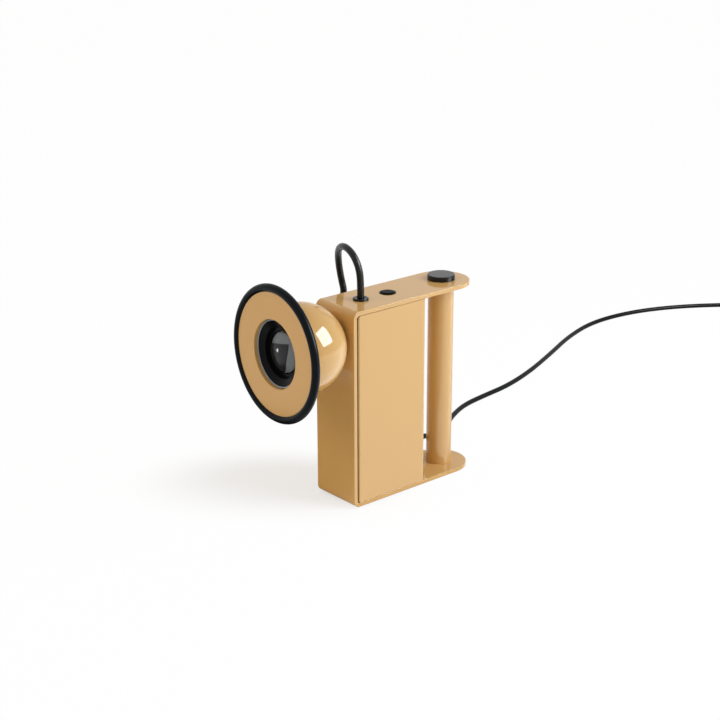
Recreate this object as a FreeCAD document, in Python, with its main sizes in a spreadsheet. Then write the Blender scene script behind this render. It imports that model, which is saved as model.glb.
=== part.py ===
import FreeCAD, Part
import math
import os
from types import SimpleNamespace

import Sketcher
from FreeCAD import Placement, Rotation, Vector

# Driving sizes in millimetres, each written once
SIZES = {
    "plate_width": (54.0, "width of the folded plate and of the case"),
    "plate_length": (158.0, "front face to the end of a tongue"),
    "plate_height": (190.0, "underside to top face of the folded plate"),
    "plate_thick": (4.0, "strip thickness"),
    "bend_radius": (6.5, "outer radius of the two bends"),
    "plate_edge": (0.4, "rounding of the plate's long edges"),
    "foot_height": (1.0, "rubber pads under the plate"),
    "foot_radius": (5.0, "radius of a pad"),
    "foot_inset": (9.0, "pad centre in from the plate's side"),
    "foot_front": (16.0, "front pads behind the front face"),
    "foot_rear": (128.0, "rear pads behind the front face"),
    "tube_radius": (12.3, "outer radius of the handle tube"),
    "tube_wall": (1.5, "wall of the handle tube"),
    "insert_length": (20.0, "insert in the foot of the tube"),
    "case_wall": (1.5, "sheet of the inner case"),
    "case_gap": (1.5, "gap between front wall and case"),
    "case_length": (82.2, "front edge to rear face of the case"),
    "case_seam": (0.3, "seam between case and tongues"),
    "case_front_round": (2.0, "outer rounding of the front edges"),
    "case_rear_round": (3.5, "outer rounding of the rear edges"),
    "case_top_round": (3.0, "case corner under the upper bend"),
    "case_low_round": (1.6, "case corner over the lower bend"),
    "lip_width": (10.0, "inward lip at the front of a side panel"),
    "shelf_width": (7.0, "inward shelf above and below"),
    "screw_radius": (1.5, "small countersunk screws"),
    "screw_head": (3.0, "their head radius"),
    "screw_length": (9.0, "their length"),
    "pan_head": (2.7, "head radius of the inner screws"),
    "screw_slack": (0.2, "hole larger than screw"),
    "screw_inset": (6.5, "case screws in from the case's side"),
    "screw_front": (18.0, "front pair behind the front face"),
    "screw_rear": (74.0, "rear pair behind the front face"),
    "tube_screw_radius": (2.5, "screw into the tube's insert"),
    "tube_screw_head": (4.8, "its head radius"),
    "tube_screw_length": (18.0, "its length"),
    "loop_back": (31.1, "grommet behind the front face"),
    "cable_radius": (3.25, "cable of the loop"),
    "grommet_radius": (7.3, "ring on the top tongue"),
    "grommet_height": (2.1, "ring above the tongue"),
    "grommet_round": (0.9, "rounding of the ring"),
    "grommet_neck": (4.9, "neck through the tongue"),
    "grommet_depth": (3.0, "part below the tongue"),
    "grommet_fit": (0.1, "neck to hole and cable to bore"),
    "grommet_barb": (0.4, "barb under the tongue"),
    "switch_back": (63.7, "push button behind the front face"),
    "bezel_radius": (7.8, "ring round the button"),
    "bezel_height": (0.6, "ring above the tongue"),
    "switch_radius": (7.0, "barrel of the switch"),
    "switch_depth": (22.0, "barrel below the top face"),
    "switch_nut_half": (9.0, "half across flats of its nut"),
    "switch_nut_height": (2.5, "its height"),
    "button_radius": (6.0, "moving cap"),
    "button_proud": (1.3, "cap above the tongue"),
    "button_skirt": (3.0, "cap below the top face"),
    "button_stem": (2.5, "stem radius"),
    "button_stem_depth": (8.0, "stem below the top face"),
    "press_room": (1.8, "room for the stroke"),
    "moving_fit": (0.1, "radial clearance of what slides"),
    "shaft_fit": (0.05, "radial clearance of the dimmer shaft"),
    "swivel_fit": (0.08, "radial clearance of the swivelling entry"),
    "knob_radius": (13.2, "dimmer knob"),
    "knob_height": (4.7, "its height"),
    "knob_gap": (0.3, "gap under the knob"),
    "knob_chamfer": (0.7, "bevel of its top edge"),
    "knob_recess": (8.0, "radius of the hollow under it"),
    "knob_web": (1.9, "thickness above the hollow"),
    "shaft_radius": (3.0, "dimmer shaft"),
    "shaft_grip": (1.0, "shaft held in the knob"),
    "bush_radius": (4.5, "threaded bush of the dimmer"),
    "bush_proud": (2.4, "bush above the tongue"),
    "dimmer_radius": (8.5, "dimmer can"),
    "dimmer_depth": (12.0, "can below the tongue"),
    "dimmer_nut_half": (6.0, "half across flats of its nut"),
    "dimmer_nut_height": (1.8, "its height"),
    "ball_radius": (42.0, "outer radius of the ball"),
    "ball_wall": (1.6, "wall of the ball"),
    "ball_nest": (2.0, "ball sunk into the front wall's opening"),
    "ball_drop": (30.8, "ball centre below the top face"),
    "flange_front": (27.8, "flange's front face ahead of the ball centre"),
    "flange_thick": (3.2, "flange thickness"),
    "flange_fillet": (2.5, "fillet between ball and flange"),
    "head_radius": (63.2, "flange with its rim"),
    "head_pan": (-2.4, "degrees by which the head looks to its own right"),
    "head_lift": (0.9, "degrees by which it looks up"),
    "rim_radius": (3.8, "section radius of the rubber rim"),
    "rim_bite": (0.5, "flange edge past the rim's middle"),
    "opening_radius": (31.4, "opening in the flange"),
    "opening_round": (0.6, "rounding of its front edge"),
    "sill_radius": (29.4, "sill behind the opening that holds the baffle"),
    "sill_depth": (6.3, "sill behind the flange's front"),
    "sill_thick": (1.2, "its thickness"),
    "baffle_fit": (0.2, "baffle to opening and sill"),
    "baffle_sink": (3.7, "baffle behind the flange's front"),
    "baffle_round": (0.5, "rounding of its outer edge"),
    "mouth_radius": (30.4, "mouth of the baffle"),
    "throat_radius": (23.5, "step inside the mouth"),
    "throat_depth": (3.1, "step behind the baffle's front"),
    "lens_depth": (6.8, "glass behind the baffle's front"),
    "lens_radius": (19.6, "glass"),
    "lens_thick": (2.5, "glass thickness"),
    "lens_fit": (0.15, "glass to its seat"),
    "ledge_radius": (17.9, "hole of the ledge behind the glass"),
    "ledge_thick": (1.7, "ledge thickness"),
    "tail_radius": (25.5, "tail of the baffle"),
    "stem_depth": (7.6, "baffle's stem behind the flange's front"),
    "can_fit": (0.15, "can round the tail"),
    "can_wall": (1.0, "can wall"),
    "can_overlap": (2.4, "can over the tail"),
    "can_length": (40.4, "can behind its front edge"),
    "lamp_radius": (17.5, "front of the reflector lamp"),
    "lamp_gap": (0.3, "lamp behind the glass"),
    "lamp_rim": (2.0, "straight rim of the lamp"),
    "lamp_length": (29.0, "front to end of its neck"),
    "lamp_neck": (6.5, "neck radius"),
    "lamp_neck_length": (6.0, "neck length"),
    "lamp_wall": (1.2, "glass wall of the reflector"),
    "lamp_bulge": (26.0, "radius of the reflector's curve"),
    "pin_radius": (0.6, "lamp pins"),
    "pin_spacing": (4.0, "between the lamp pins"),
    "pin_length": (6.0, "lamp pins"),
    "socket_radius": (9.5, "lamp socket"),
    "socket_screw_side": (6.2, "its screws off the middle"),
    "socket_screw_length": (4.5, "their length"),
    "seat_gap": (0.3, "ball to its seat"),
    "seat_outer": (16.0, "seat ring in the front wall"),
    "seat_inner": (6.0, "hole of the seat ring"),
    "seat_flange": (17.8, "its flange behind the wall"),
    "seat_flange_thick": (1.2, "flange thickness"),
    "magnet_radius": (12.0, "magnet"),
    "magnet_sink": (1.0, "magnet let into the front wall's plane"),
    "magnet_length": (8.0, "magnet"),
    "yoke_radius": (15.0, "steel disc behind the magnet"),
    "yoke_thick": (3.0, "its thickness"),
    "bridge_width": (13.0, "strap behind the disc"),
    "bridge_half": (26.0, "half its height"),
    "bridge_thick": (1.5, "its thickness"),
    "bridge_hole": (21.0, "its screws above and below the middle"),
    "spacer_radius": (3.0, "spacers between wall and strap"),
    "gland_stem": (4.9, "entry through the ball's wall"),
    "gland_collar": (7.0, "collar outside"),
    "gland_collar_end": (45.6, "collar's outer face from the ball centre"),
    "gland_sleeve": (4.9, "sleeve at the collar"),
    "gland_tip": (4.1, "sleeve at its end"),
    "gland_end": (56.0, "sleeve's end from the ball centre"),
    "gland_inner": (35.5, "stem's inner end from the ball centre"),
    "gland_nut_half": (7.0, "half across flats of its nut"),
    "gland_nut_height": (2.6, "its height"),
    "gland_gap": (0.3, "collar and nut to the ball"),
    "driver_width": (36.0, "driver case"),
    "driver_depth": (42.0, "driver case"),
    "driver_height": (88.0, "driver case"),
    "driver_front": (26.0, "driver behind the front face"),
    "driver_round": (3.0, "its upright edges"),
    "board_width": (32.0, "control board"),
    "board_depth": (36.0, "control board"),
    "board_thick": (1.6, "control board"),
    "post_radius": (2.2, "posts under the board"),
    "post_height": (6.0, "posts under the board"),
    "post_inset": (3.5, "posts in from the board's edges"),
    "capacitor_radius": (4.4, "larger can on the board"),
    "capacitor_small": (3.3, "smaller can on the board"),
    "capacitor_height": (12.0, "both cans"),
    "capacitor_spot": (8.0, "cans off the board's middle"),
    "choke_width": (22.4, "block on the board"),
    "choke_depth": (9.6, "block on the board"),
    "choke_height": (9.0, "block on the board"),
    "relief_side": (15.5, "mains cord off the middle"),
    "relief_up": (24.0, "mains cord above the plate's underside"),
    "relief_neck": (5.0, "relief through the rear wall"),
    "relief_flange": (7.2, "relief outside the wall"),
    "relief_base": (4.7, "root of its taper"),
    "relief_tip": (3.0, "end of its taper"),
    "relief_length": (24.0, "relief behind the wall"),
    "relief_inside": (5.0, "relief inside the wall"),
    "cord_radius": (2.6, "mains cord"),
    "coil_gap": (0.6, "between turns of the put-away coil"),
    "coil_middle": (28.6, "radius at the middle of its turns"),
    "coil_layer_turns": (2.25, "turns in each of its two layers"),
    "coil_dip": (1.0, "how far the climbing half turn draws in"),
    "coil_side": (-72.0, "coil's middle across"),
    "coil_back": (722.0, "coil's middle along"),
    "coil_heading": (45.0, "direction in which the cord joins and leaves it"),
    "coil_lead": (42.0, "straight run before the coil"),
    "plug_width": (35.3, "flat two-pin plug"),
    "plug_thick": (13.7, "flat two-pin plug"),
    "plug_face": (30.4, "width of the face with the pins"),
    "plug_edge": (3.4, "rounding of its edges"),
    "plug_length": (35.0, "flat two-pin plug"),
    "plug_boot": (22.0, "its tapered boot"),
    "plug_boot_radius": (5.2, "root of the boot"),
    "plug_boot_tip": (3.4, "end of the boot"),
    "plug_pin_radius": (2.0, "plug pins"),
    "plug_pin_length": (19.0, "plug pins"),
    "plug_pin_spacing": (18.6, "between the plug pins"),
}

doc = FreeCAD.newDocument("searchlight_lamp")
sheet = doc.addObject("Spreadsheet::Sheet", "Sizes")
for row, (alias, (number, meaning)) in enumerate(SIZES.items(), start=1):
    sheet.set(f"A{row}", alias)
    sheet.set(f"B{row}", str(number))
    sheet.set(f"C{row}", meaning)
    sheet.setAlias(f"B{row}", alias)
doc.recompute()


class Dim:
    """A size: its number now, and the expression that ties it to the sheet."""

    def __init__(self, value, text):
        self.value = float(value)
        self.text = text

    def __add__(self, other):
        other = dim(other)
        return Dim(self.value + other.value, f"({self.text} + {other.text})")

    def __sub__(self, other):
        other = dim(other)
        return Dim(self.value - other.value, f"({self.text} - {other.text})")

    def __rsub__(self, other):
        return dim(other) - self

    def __mul__(self, other):
        other = dim(other)
        return Dim(self.value * other.value, f"({self.text} * {other.text})")

    def __truediv__(self, other):
        other = dim(other)
        return Dim(self.value / other.value, f"({self.text} / {other.text})")

    def __neg__(self):
        return Dim(-self.value, f"(-1 * {self.text})")

    __radd__ = __add__
    __rmul__ = __mul__


def dim(value):
    """Any number as a size."""
    return value if isinstance(value, Dim) else Dim(value, f"{float(value)!r}")


def root(value):
    """Square root of a size."""
    return Dim(math.sqrt(value.value), f"sqrt({value.text})")


def across(radius, along):
    """Half chord of a circle at a distance from its centre."""
    return root(radius * radius - along * along)


S = SimpleNamespace(**{name: Dim(sheet.get(name), f"Sizes.{name}") for name in SIZES})

# Places that follow from the sizes
ball_out = S.ball_radius - S.ball_nest
rim_middle = S.flange_front - S.flange_thick / 2
head_reach = ball_out + rim_middle + S.rim_radius
front_y = (head_reach - S.plate_length) / 2
tube_y = S.plate_length - S.plate_width / 2
ball_z = S.plate_height - S.ball_drop
case_front = S.plate_thick + S.case_gap
case_rear = case_front + S.case_length
half_width = S.plate_width / 2
top_under = S.plate_height - S.plate_thick
ball_inner = S.ball_radius - S.ball_wall

# Turns as yaw, pitch and roll in degrees
UPRIGHT = (0, 0, 0)
REARWARD = (0, 0, -90)
BEAM = (S.head_pan, 0, dim(90) - S.head_lift)
LEFTWARD = (S.head_pan, -90, 0)


def place(item, where, turn=UPRIGHT):
    """Set an object's place in the lamp's frame from (x, y, z) behind the front face and above the plate."""
    spot, angles = tuple(dim(v) for v in where), tuple(dim(a) for a in turn)
    base = "; ".join(v.text for v in spot)
    turned = "; ".join(a.text for a in angles)
    item.setExpression("Placement", f"placement(vector({base}); rotation({turned}))")


def body(name, where=(0, 0, 0), turn=UPRIGHT):
    """A body whose own frame stands at a point counted from the plate's front face and underside."""
    item = doc.addObject("PartDesign::Body", name)
    item.Label = name
    item.AllowCompound = True
    x, y, z = (dim(v) for v in where)
    place(item, (x, y + front_y, z + S.foot_height), turn)
    return item


def bind(item, prop, value):
    """Tie a property to a size."""
    item.setExpression(prop, dim(value).text)


def new_sketch(owner, name, role, offset=None):
    """An empty sketch on one of the body's own origin planes."""
    plane = next(f for f in owner.Origin.OriginFeatures if f.Role == role)
    item = owner.newObject("Sketcher::SketchObject", f"{owner.Name}_{name}")
    item.AttachmentSupport = [(plane, "")]
    item.MapMode = "FlatFace"
    if offset is not None:
        bind(item, "AttachmentOffset.Base.z", offset)
    return item


def pin_point(item, geometry, position, u, v):
    """Fix a point of a sketch at two sizes. A None leaves that direction free."""
    for kind, axis, size in (("DistanceX", -2, u), ("DistanceY", -1, v)):
        if size is None:
            continue
        if dim(size).value == 0:
            item.addConstraint(Sketcher.Constraint("PointOnObject", geometry, position, axis))
            continue
        index = item.addConstraint(
            Sketcher.Constraint(kind, -1, 1, geometry, position, dim(size).value)
        )
        bind(item, f"Constraints[{index}]", size)


def arc_at(centre, start, end, turn):
    """The arc from start to end about a centre. Turn is 1 for anticlockwise and -1 for clockwise."""
    first, last = (start, end) if turn > 0 else (end, start)
    angles = [math.atan2(p[1] - centre[1], p[0] - centre[0]) for p in (first, last)]
    while angles[1] <= angles[0]:
        angles[1] += 2 * math.pi
    distance = math.dist(centre, start)
    circle = Part.Circle(Vector(*centre, 0), Vector(0, 0, 1), distance)
    return Part.ArcOfCircle(circle, *angles)


def bend_centre(start, end, radius, turn):
    """Centre of the shorter arc of a radius between two points."""
    middle = [(a + b) / 2 for a, b in zip(start, end)]
    run = [b - a for a, b in zip(start, end)]
    chord = math.hypot(*run)
    reach = math.sqrt(radius**2 - (chord / 2) ** 2) * turn
    return (middle[0] - run[1] / chord * reach, middle[1] + run[0] / chord * reach)


def spread_corners(path):
    """Vertices and edges of an outline whose corners may be rounded and whose edges may be arcs.

    A point is (u, v), or (u, v, r) where its two straight edges run along the axes. Between two
    points, ("arc", cu, cv, turn) gives an arc's centre and ("bend", r, turn) its radius.
    """
    points = [p for p in path if p[0] not in ("arc", "bend")]
    vertices, edges = [], []
    for place_in_path, entry in enumerate(path):
        if entry[0] in ("arc", "bend"):
            edges[-1] = entry
            continue
        if len(entry) == 2:
            vertices.append((dim(entry[0]), dim(entry[1])))
            edges.append(None)
            continue
        u, v, radius = (dim(x) for x in entry)
        order = points.index(entry)
        steps = []
        for neighbour in (points[order - 1], points[(order + 1) % len(points)]):
            du = dim(neighbour[0]).value - u.value
            dv = dim(neighbour[1]).value - v.value
            along_u = abs(du) > abs(dv)
            steps.append((math.copysign(1, du), 0) if along_u else (0, math.copysign(1, dv)))
        for su, sv in steps:
            vertices.append((u + radius * su if su else u, v + radius * sv if sv else v))
        (au, av), (bu, bv) = steps
        cross = -au * bv + av * bu
        centre = (u + radius * (au + bu), v + radius * (av + bv))
        edges.append(("arc", centre[0], centre[1], math.copysign(1, cross)))
        edges.append(None)
    return vertices, edges


def outline(owner, name, role, path, offset=None):
    """A closed sketch through a path of points, fully tied to the sizes."""
    item = new_sketch(owner, name, role, offset)
    vertices, edges = spread_corners(path)
    count = len(vertices)
    numbers = [(u.value, v.value) for u, v in vertices]
    ends = []
    for index, edge in enumerate(edges):
        start, end = numbers[index], numbers[(index + 1) % count]
        if edge is None:
            item.addGeometry(Part.LineSegment(Vector(*start, 0), Vector(*end, 0)), False)
            ends.append((1, 2))
            continue
        if edge[0] == "arc":
            centre, turn = (dim(edge[1]).value, dim(edge[2]).value), edge[3]
        else:
            centre, turn = bend_centre(start, end, dim(edge[1]).value, edge[2]), edge[2]
        item.addGeometry(arc_at(centre, start, end, turn), False)
        ends.append((1, 2) if turn > 0 else (2, 1))
    for index in range(count):
        after = (index + 1) % count
        item.addConstraint(
            Sketcher.Constraint("Coincident", index, ends[index][1], after, ends[after][0])
        )
    for index, edge in enumerate(edges):
        pin_point(item, index, ends[index][0], *vertices[index])
        if edge is None:
            continue
        if edge[0] == "bend":
            number = item.addConstraint(
                Sketcher.Constraint("Radius", index, dim(edge[1]).value)
            )
            bind(item, f"Constraints[{number}]", edge[1])
            continue
        start, end = numbers[index], numbers[(index + 1) % count]
        upright = abs(end[1] - start[1]) > abs(end[0] - start[0])
        pin_point(item, index, 3, edge[1] if upright else None, None if upright else edge[2])
    return item


def circles(owner, name, role, rounds, offset=None):
    """A sketch of circles given as (u, v, radius)."""
    item = new_sketch(owner, name, role, offset)
    for index, (u, v, radius) in enumerate(rounds):
        spot = Vector(dim(u).value, dim(v).value, 0)
        item.addGeometry(Part.Circle(spot, Vector(0, 0, 1), dim(radius).value), False)
        number = item.addConstraint(Sketcher.Constraint("Radius", index, dim(radius).value))
        bind(item, f"Constraints[{number}]", radius)
        pin_point(item, index, 3, u, v)
    return item


def hexagon(owner, name, half_flats, bore, offset=None):
    """A nut's outline with its bore, across flats along the first axis."""
    corner = half_flats / math.cos(math.radians(30))
    path = []
    for step in range(6):
        angle = math.radians(30 + 60 * step)
        path.append((corner * math.cos(angle), corner * math.sin(angle)))
    path = [(0 if abs(u.value) < 1e-6 else u, v) for u, v in path]
    item = outline(owner, name, "XY_Plane", path, offset)
    item.addGeometry(Part.Circle(Vector(0, 0, 0), Vector(0, 0, 1), bore.value), False)
    number = item.addConstraint(Sketcher.Constraint("Radius", 6, bore.value))
    bind(item, f"Constraints[{number}]", bore)
    item.addConstraint(Sketcher.Constraint("Coincident", 6, 3, -1, 1))
    return item


def feature(owner, kind, name, profile):
    """A sketch-based feature of a body."""
    item = owner.newObject(f"PartDesign::{kind}", f"{owner.Name}_{name}")
    item.Profile = profile
    profile.Visibility = False
    return item


def pad(owner, name, profile, length, symmetric=False, backwards=False):
    """Push a sketch along its normal."""
    item = feature(owner, "Pad", name, profile)
    bind(item, "Length", length)
    item.SideType = "Symmetric" if symmetric else "One side"
    item.Reversed = backwards
    return item


def must_cut(owner, item):
    """Recompute a cutting feature and stop if it removed nothing."""
    base = item.BaseFeature.Shape.Volume
    doc.recompute()
    if not item.Shape.Volume < base - 1e-3:
        raise RuntimeError(f"{item.Name} cuts nothing")
    return item


def pocket(owner, name, profile, length=None, symmetric=False, backwards=False):
    """Cut a sketch into a body, right through where no length is given."""
    doc.recompute()
    item = feature(owner, "Pocket", name, profile)
    if length is None:
        item.Type = "ThroughAll"
    else:
        bind(item, "Length", length)
    item.SideType = "Symmetric" if symmetric else "One side"
    item.Reversed = backwards
    return must_cut(owner, item)


def turn_about(owner, name, path, role="XZ_Plane"):
    """Revolve an outline about the body's own Z axis."""
    profile = outline(owner, f"{name}_outline", role, path)
    item = feature(owner, "Revolution", name, profile)
    item.ReferenceAxis = (profile, ["V_Axis"])
    item.Angle = 360
    return item


def edges_where(shape, test):
    """Names of the edges that pass a test."""
    return [f"Edge{n}" for n, edge in enumerate(shape.Edges, start=1) if test(edge)]


def soften(owner, kind, name, size, test):
    """Fillet or chamfer the edges of the body so far that pass a test."""
    doc.recompute()
    base = owner.Tip
    names = edges_where(base.Shape, test)
    if not names:
        raise RuntimeError(f"{owner.Name}_{name} finds no edge")
    item = owner.newObject(f"PartDesign::{kind}", f"{owner.Name}_{name}")
    item.Base = (base, names)
    bind(item, "Radius" if kind == "Fillet" else "Size", size)
    return item


def countersunk(owner, name, profile, radius, head):
    """Countersunk holes through the lower tongue from its underside at a sketch's circles."""
    doc.recompute()
    item = feature(owner, "Hole", name, profile)
    item.ThreadType = "None"
    item.DepthType = "Dimension"
    item.DrillPoint = "Flat"
    bind(item, "Depth", S.plate_thick * 2)
    bind(item, "Diameter", radius * 2)
    item.HoleCutType = "Countersink"
    item.HoleCutCustomValues = True
    bind(item, "HoleCutDiameter", head * 2)
    item.HoleCutCountersinkAngle = 90
    item.Reversed = True
    return must_cut(owner, item)


# Folded frame plate
screw_x = half_width - S.screw_inset
driver_rear = S.driver_front + S.driver_depth
driver_screws = [(0, S.driver_front + S.screw_inset), (0, driver_rear - S.screw_inset)]
case_screws = [
    (side * screw_x, along) for side in (-1, 1) for along in (S.screw_front, S.screw_rear)
]


def build_frame_plate():
    """One strip bent into a C whose tongues end in half circles."""
    plate = body("frame_plate")
    inner_bend = S.bend_radius - S.plate_thick
    far = S.plate_length
    side = outline(
        plate,
        "side",
        "YZ_Plane",
        [
            (far, 0),
            (0, 0, S.bend_radius),
            (0, S.plate_height, S.bend_radius),
            (far, S.plate_height),
            (far, top_under),
            (S.plate_thick, top_under, inner_bend),
            (S.plate_thick, S.plate_thick, inner_bend),
            (far, S.plate_thick),
        ],
    )
    pad(plate, "strip", side, S.plate_width, symmetric=True)
    margin = S.plate_width / 10
    ends = outline(
        plate,
        "tongue_ends",
        "XY_Plane",
        [
            (half_width, tube_y),
            ("arc", dim(0), tube_y, 1),
            (-half_width, tube_y),
            (-half_width - margin, tube_y),
            (-half_width - margin, far + margin),
            (half_width + margin, far + margin),
            (half_width + margin, tube_y),
        ],
    )
    pocket(plate, "round_ends", ends, symmetric=True)
    soften(
        plate,
        "Fillet",
        "soft_edges",
        S.plate_edge,
        lambda e: e.BoundBox.XLength < 1e-6
        and abs(abs(e.BoundBox.XMin) - half_width.value) < 1e-3
        or e.BoundBox.XLength > half_width.value + 1
        and e.BoundBox.YMin > tube_y.value - 1
        and e.BoundBox.ZLength < 1e-6,
    )
    top_holes = circles(
        plate,
        "top_holes",
        "XY_Plane",
        [
            (0, S.loop_back, S.grommet_neck + S.grommet_fit),
            (0, S.switch_back, S.switch_radius + S.moving_fit),
            (0, tube_y, S.bush_radius + S.moving_fit),
        ],
        S.plate_height,
    )
    pocket(plate, "top_cuts", top_holes, S.plate_thick * 2)
    seat_hole = circles(plate, "seat_hole", "XZ_Plane", [(0, ball_z, S.seat_outer + S.moving_fit)])
    pocket(plate, "seat_cut", seat_hole, S.plate_thick * 4, symmetric=True)
    bridge_holes = circles(
        plate,
        "bridge_holes",
        "XZ_Plane",
        [(0, ball_z + side * S.bridge_hole, S.screw_radius) for side in (-1, 1)],
        -S.plate_thick / 2,
    )
    pocket(plate, "bridge_cuts", bridge_holes, S.plate_thick / 2)
    small = circles(
        plate,
        "low_holes",
        "XY_Plane",
        [(x, y, S.screw_radius) for x, y in case_screws + driver_screws],
    )
    countersunk(plate, "low_cuts", small, S.screw_radius + S.screw_slack, S.screw_head)
    large = circles(plate, "tube_hole", "XY_Plane", [(0, tube_y, S.tube_screw_radius)])
    countersunk(
        plate, "tube_cut", large, S.tube_screw_radius + S.screw_slack, S.tube_screw_head
    )


def build_case_shell():
    """Folded side panels and rear wall with lips and shelves, between the tongues."""
    case = body("case_shell")
    low = S.plate_thick + S.case_seam
    tall = S.plate_height - low * 2
    wall = S.case_wall
    lip = half_width - S.lip_width
    front_in = S.case_front_round - wall
    rear_in = S.case_rear_round - wall
    sheet_plan = outline(
        case,
        "plan",
        "XY_Plane",
        [
            (lip, case_front),
            (half_width, case_front, S.case_front_round),
            (half_width, case_rear, S.case_rear_round),
            (-half_width, case_rear, S.case_rear_round),
            (-half_width, case_front, S.case_front_round),
            (-lip, case_front),
            (-lip, case_front + wall),
            (wall - half_width, case_front + wall, front_in),
            (wall - half_width, case_rear - wall, rear_in),
            (half_width - wall, case_rear - wall, rear_in),
            (half_width - wall, case_front + wall, front_in),
            (lip, case_front + wall),
        ],
        low,
    )
    pad(case, "walls", sheet_plan, tall)
    shelf = half_width - wall - S.shelf_width
    edge = half_width - wall
    front = case_front + wall
    for name, height in (("low", low), ("top", low + tall - wall)):
        for side, word in ((1, "right"), (-1, "left")):
            plan = outline(
                case,
                f"{name}_{word}",
                "XY_Plane",
                [
                    (edge * side, front + S.case_front_round),
                    (shelf * side, front + S.case_front_round),
                    (shelf * side, case_rear - wall),
                    (edge * side, case_rear - wall),
                ],
                height,
            )
            pad(case, f"{name}_{word}_shelf", plan, wall)
    top = low + tall
    corners = (
        ("top_corner", S.case_top_round, top, -1),
        ("low_corner", S.case_low_round, low, 1),
    )
    for name, radius, level, sense in corners:
        cut = outline(
            case,
            name,
            "YZ_Plane",
            [
                (case_front - radius, level - radius * sense),
                (case_front - radius, level + radius * sense),
                (case_front, level + radius * sense),
                ("arc", case_front + radius, level + radius * sense, sense),
                (case_front + radius, level),
                (case_front + radius, level - radius * sense),
            ],
        )
        pocket(case, f"{name}_cut", cut, symmetric=True)
    hole = circles(
        case, "cord_hole", "XZ_Plane", [(-S.relief_side, S.relief_up, S.relief_neck)], -case_rear
    )
    pocket(case, "cord_cut", hole, S.case_wall * 2, symmetric=True)
    screw_holes = circles(
        case, "screw_holes", "XY_Plane", [(x, y, S.screw_radius) for x, y in case_screws], low
    )
    pocket(case, "screw_cuts", screw_holes, wall * 2, symmetric=True)


def build_handle():
    """Tube between the tongues, the insert in its foot and the screw that holds it."""
    tube = body("handle_tube", (0, tube_y, S.plate_thick))
    bore = S.tube_radius - S.tube_wall
    ring = circles(tube, "ring", "XY_Plane", [(0, 0, S.tube_radius), (0, 0, bore)])
    pad(tube, "wall", ring, S.plate_height - S.plate_thick * 2)

    insert = body("tube_insert", (0, tube_y, S.plate_thick))
    disc = circles(insert, "disc", "XY_Plane", [(0, 0, bore), (0, 0, S.tube_screw_radius)])
    pad(insert, "block", disc, S.insert_length)

    screw = body("tube_screw", (0, tube_y, 0))
    screw_outline(screw, S.tube_screw_radius, S.tube_screw_head, S.tube_screw_length)


def screw_outline(owner, radius, head, length):
    """A countersunk screw that points up from the body's origin."""
    path = [(0, 0), (head, 0), (radius, head - radius), (radius, length), (0, length)]
    return turn_about(owner, "screw", path)


def build_small_screws():
    """Countersunk screws from below into the case's shelves and the driver."""
    first = body("case_screws", (case_screws[0][0], case_screws[0][1], 0))
    item = screw_outline(first, S.screw_radius, S.screw_head, S.screw_length)
    doc.recompute()
    origin = {f.Role: f for f in first.Origin.OriginFeatures}
    steps = []
    for name, axis, count, length in (
        ("across", "X_Axis", 2, screw_x * 2),
        ("along", "Y_Axis", 2, S.screw_rear - S.screw_front),
    ):
        pattern = doc.addObject("PartDesign::LinearPattern", f"case_screws_{name}")
        pattern.Direction = (origin[axis], [""])
        pattern.Occurrences = count
        bind(pattern, "Length", length)
        steps.append(pattern)
    many = first.newObject("PartDesign::MultiTransform", "case_screws_all")
    for pattern in steps:
        first.addObject(pattern)
    many.Originals = [item]
    many.Transformations = steps
    first.Tip = many

    pair = body("driver_screws", (0, driver_screws[0][1], 0))
    item = screw_outline(pair, S.screw_radius, S.screw_head, S.screw_length)
    repeat_along(pair, item, "Y_Axis", driver_screws[1][1] - driver_screws[0][1])


def repeat_along(owner, item, axis, length):
    """A second copy of a feature at a distance along one of the body's axes."""
    doc.recompute()
    origin = {f.Role: f for f in owner.Origin.OriginFeatures}
    pattern = owner.newObject("PartDesign::LinearPattern", f"{owner.Name}_pair")
    pattern.Originals = [item]
    pattern.Direction = (origin[axis], [""])
    pattern.Occurrences = 2
    bind(pattern, "Length", length)
    owner.Tip = pattern
    return pattern


def build_feet():
    """Four thin pads under the plate."""
    feet = body("rubber_feet", (0, 0, -S.foot_height))
    foot_x = half_width - S.foot_inset
    spots = [
        (side * foot_x, along, S.foot_radius)
        for side in (-1, 1)
        for along in (S.foot_front, S.foot_rear)
    ]
    pad(feet, "pads", circles(feet, "rounds", "XY_Plane", spots), S.foot_height)


def build_grommet():
    """Ring that carries the cable through the top tongue."""
    ring = body("loop_grommet", (0, S.loop_back, S.plate_height))
    bore = S.cable_radius + S.grommet_fit
    under = -S.plate_thick
    turn_about(
        ring,
        "ring",
        [
            (bore, -S.plate_thick - S.grommet_depth),
            (bore, S.grommet_height / 2),
            (bore + S.grommet_height / 2, S.grommet_height),
            (S.grommet_radius, S.grommet_height, S.grommet_round),
            (S.grommet_radius, 0),
            (S.grommet_neck, 0),
            (S.grommet_neck, under),
            (S.grommet_neck + S.grommet_barb, under - S.grommet_depth / 3),
            (S.grommet_neck - S.grommet_barb, under - S.grommet_depth),
        ],
    )


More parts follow.
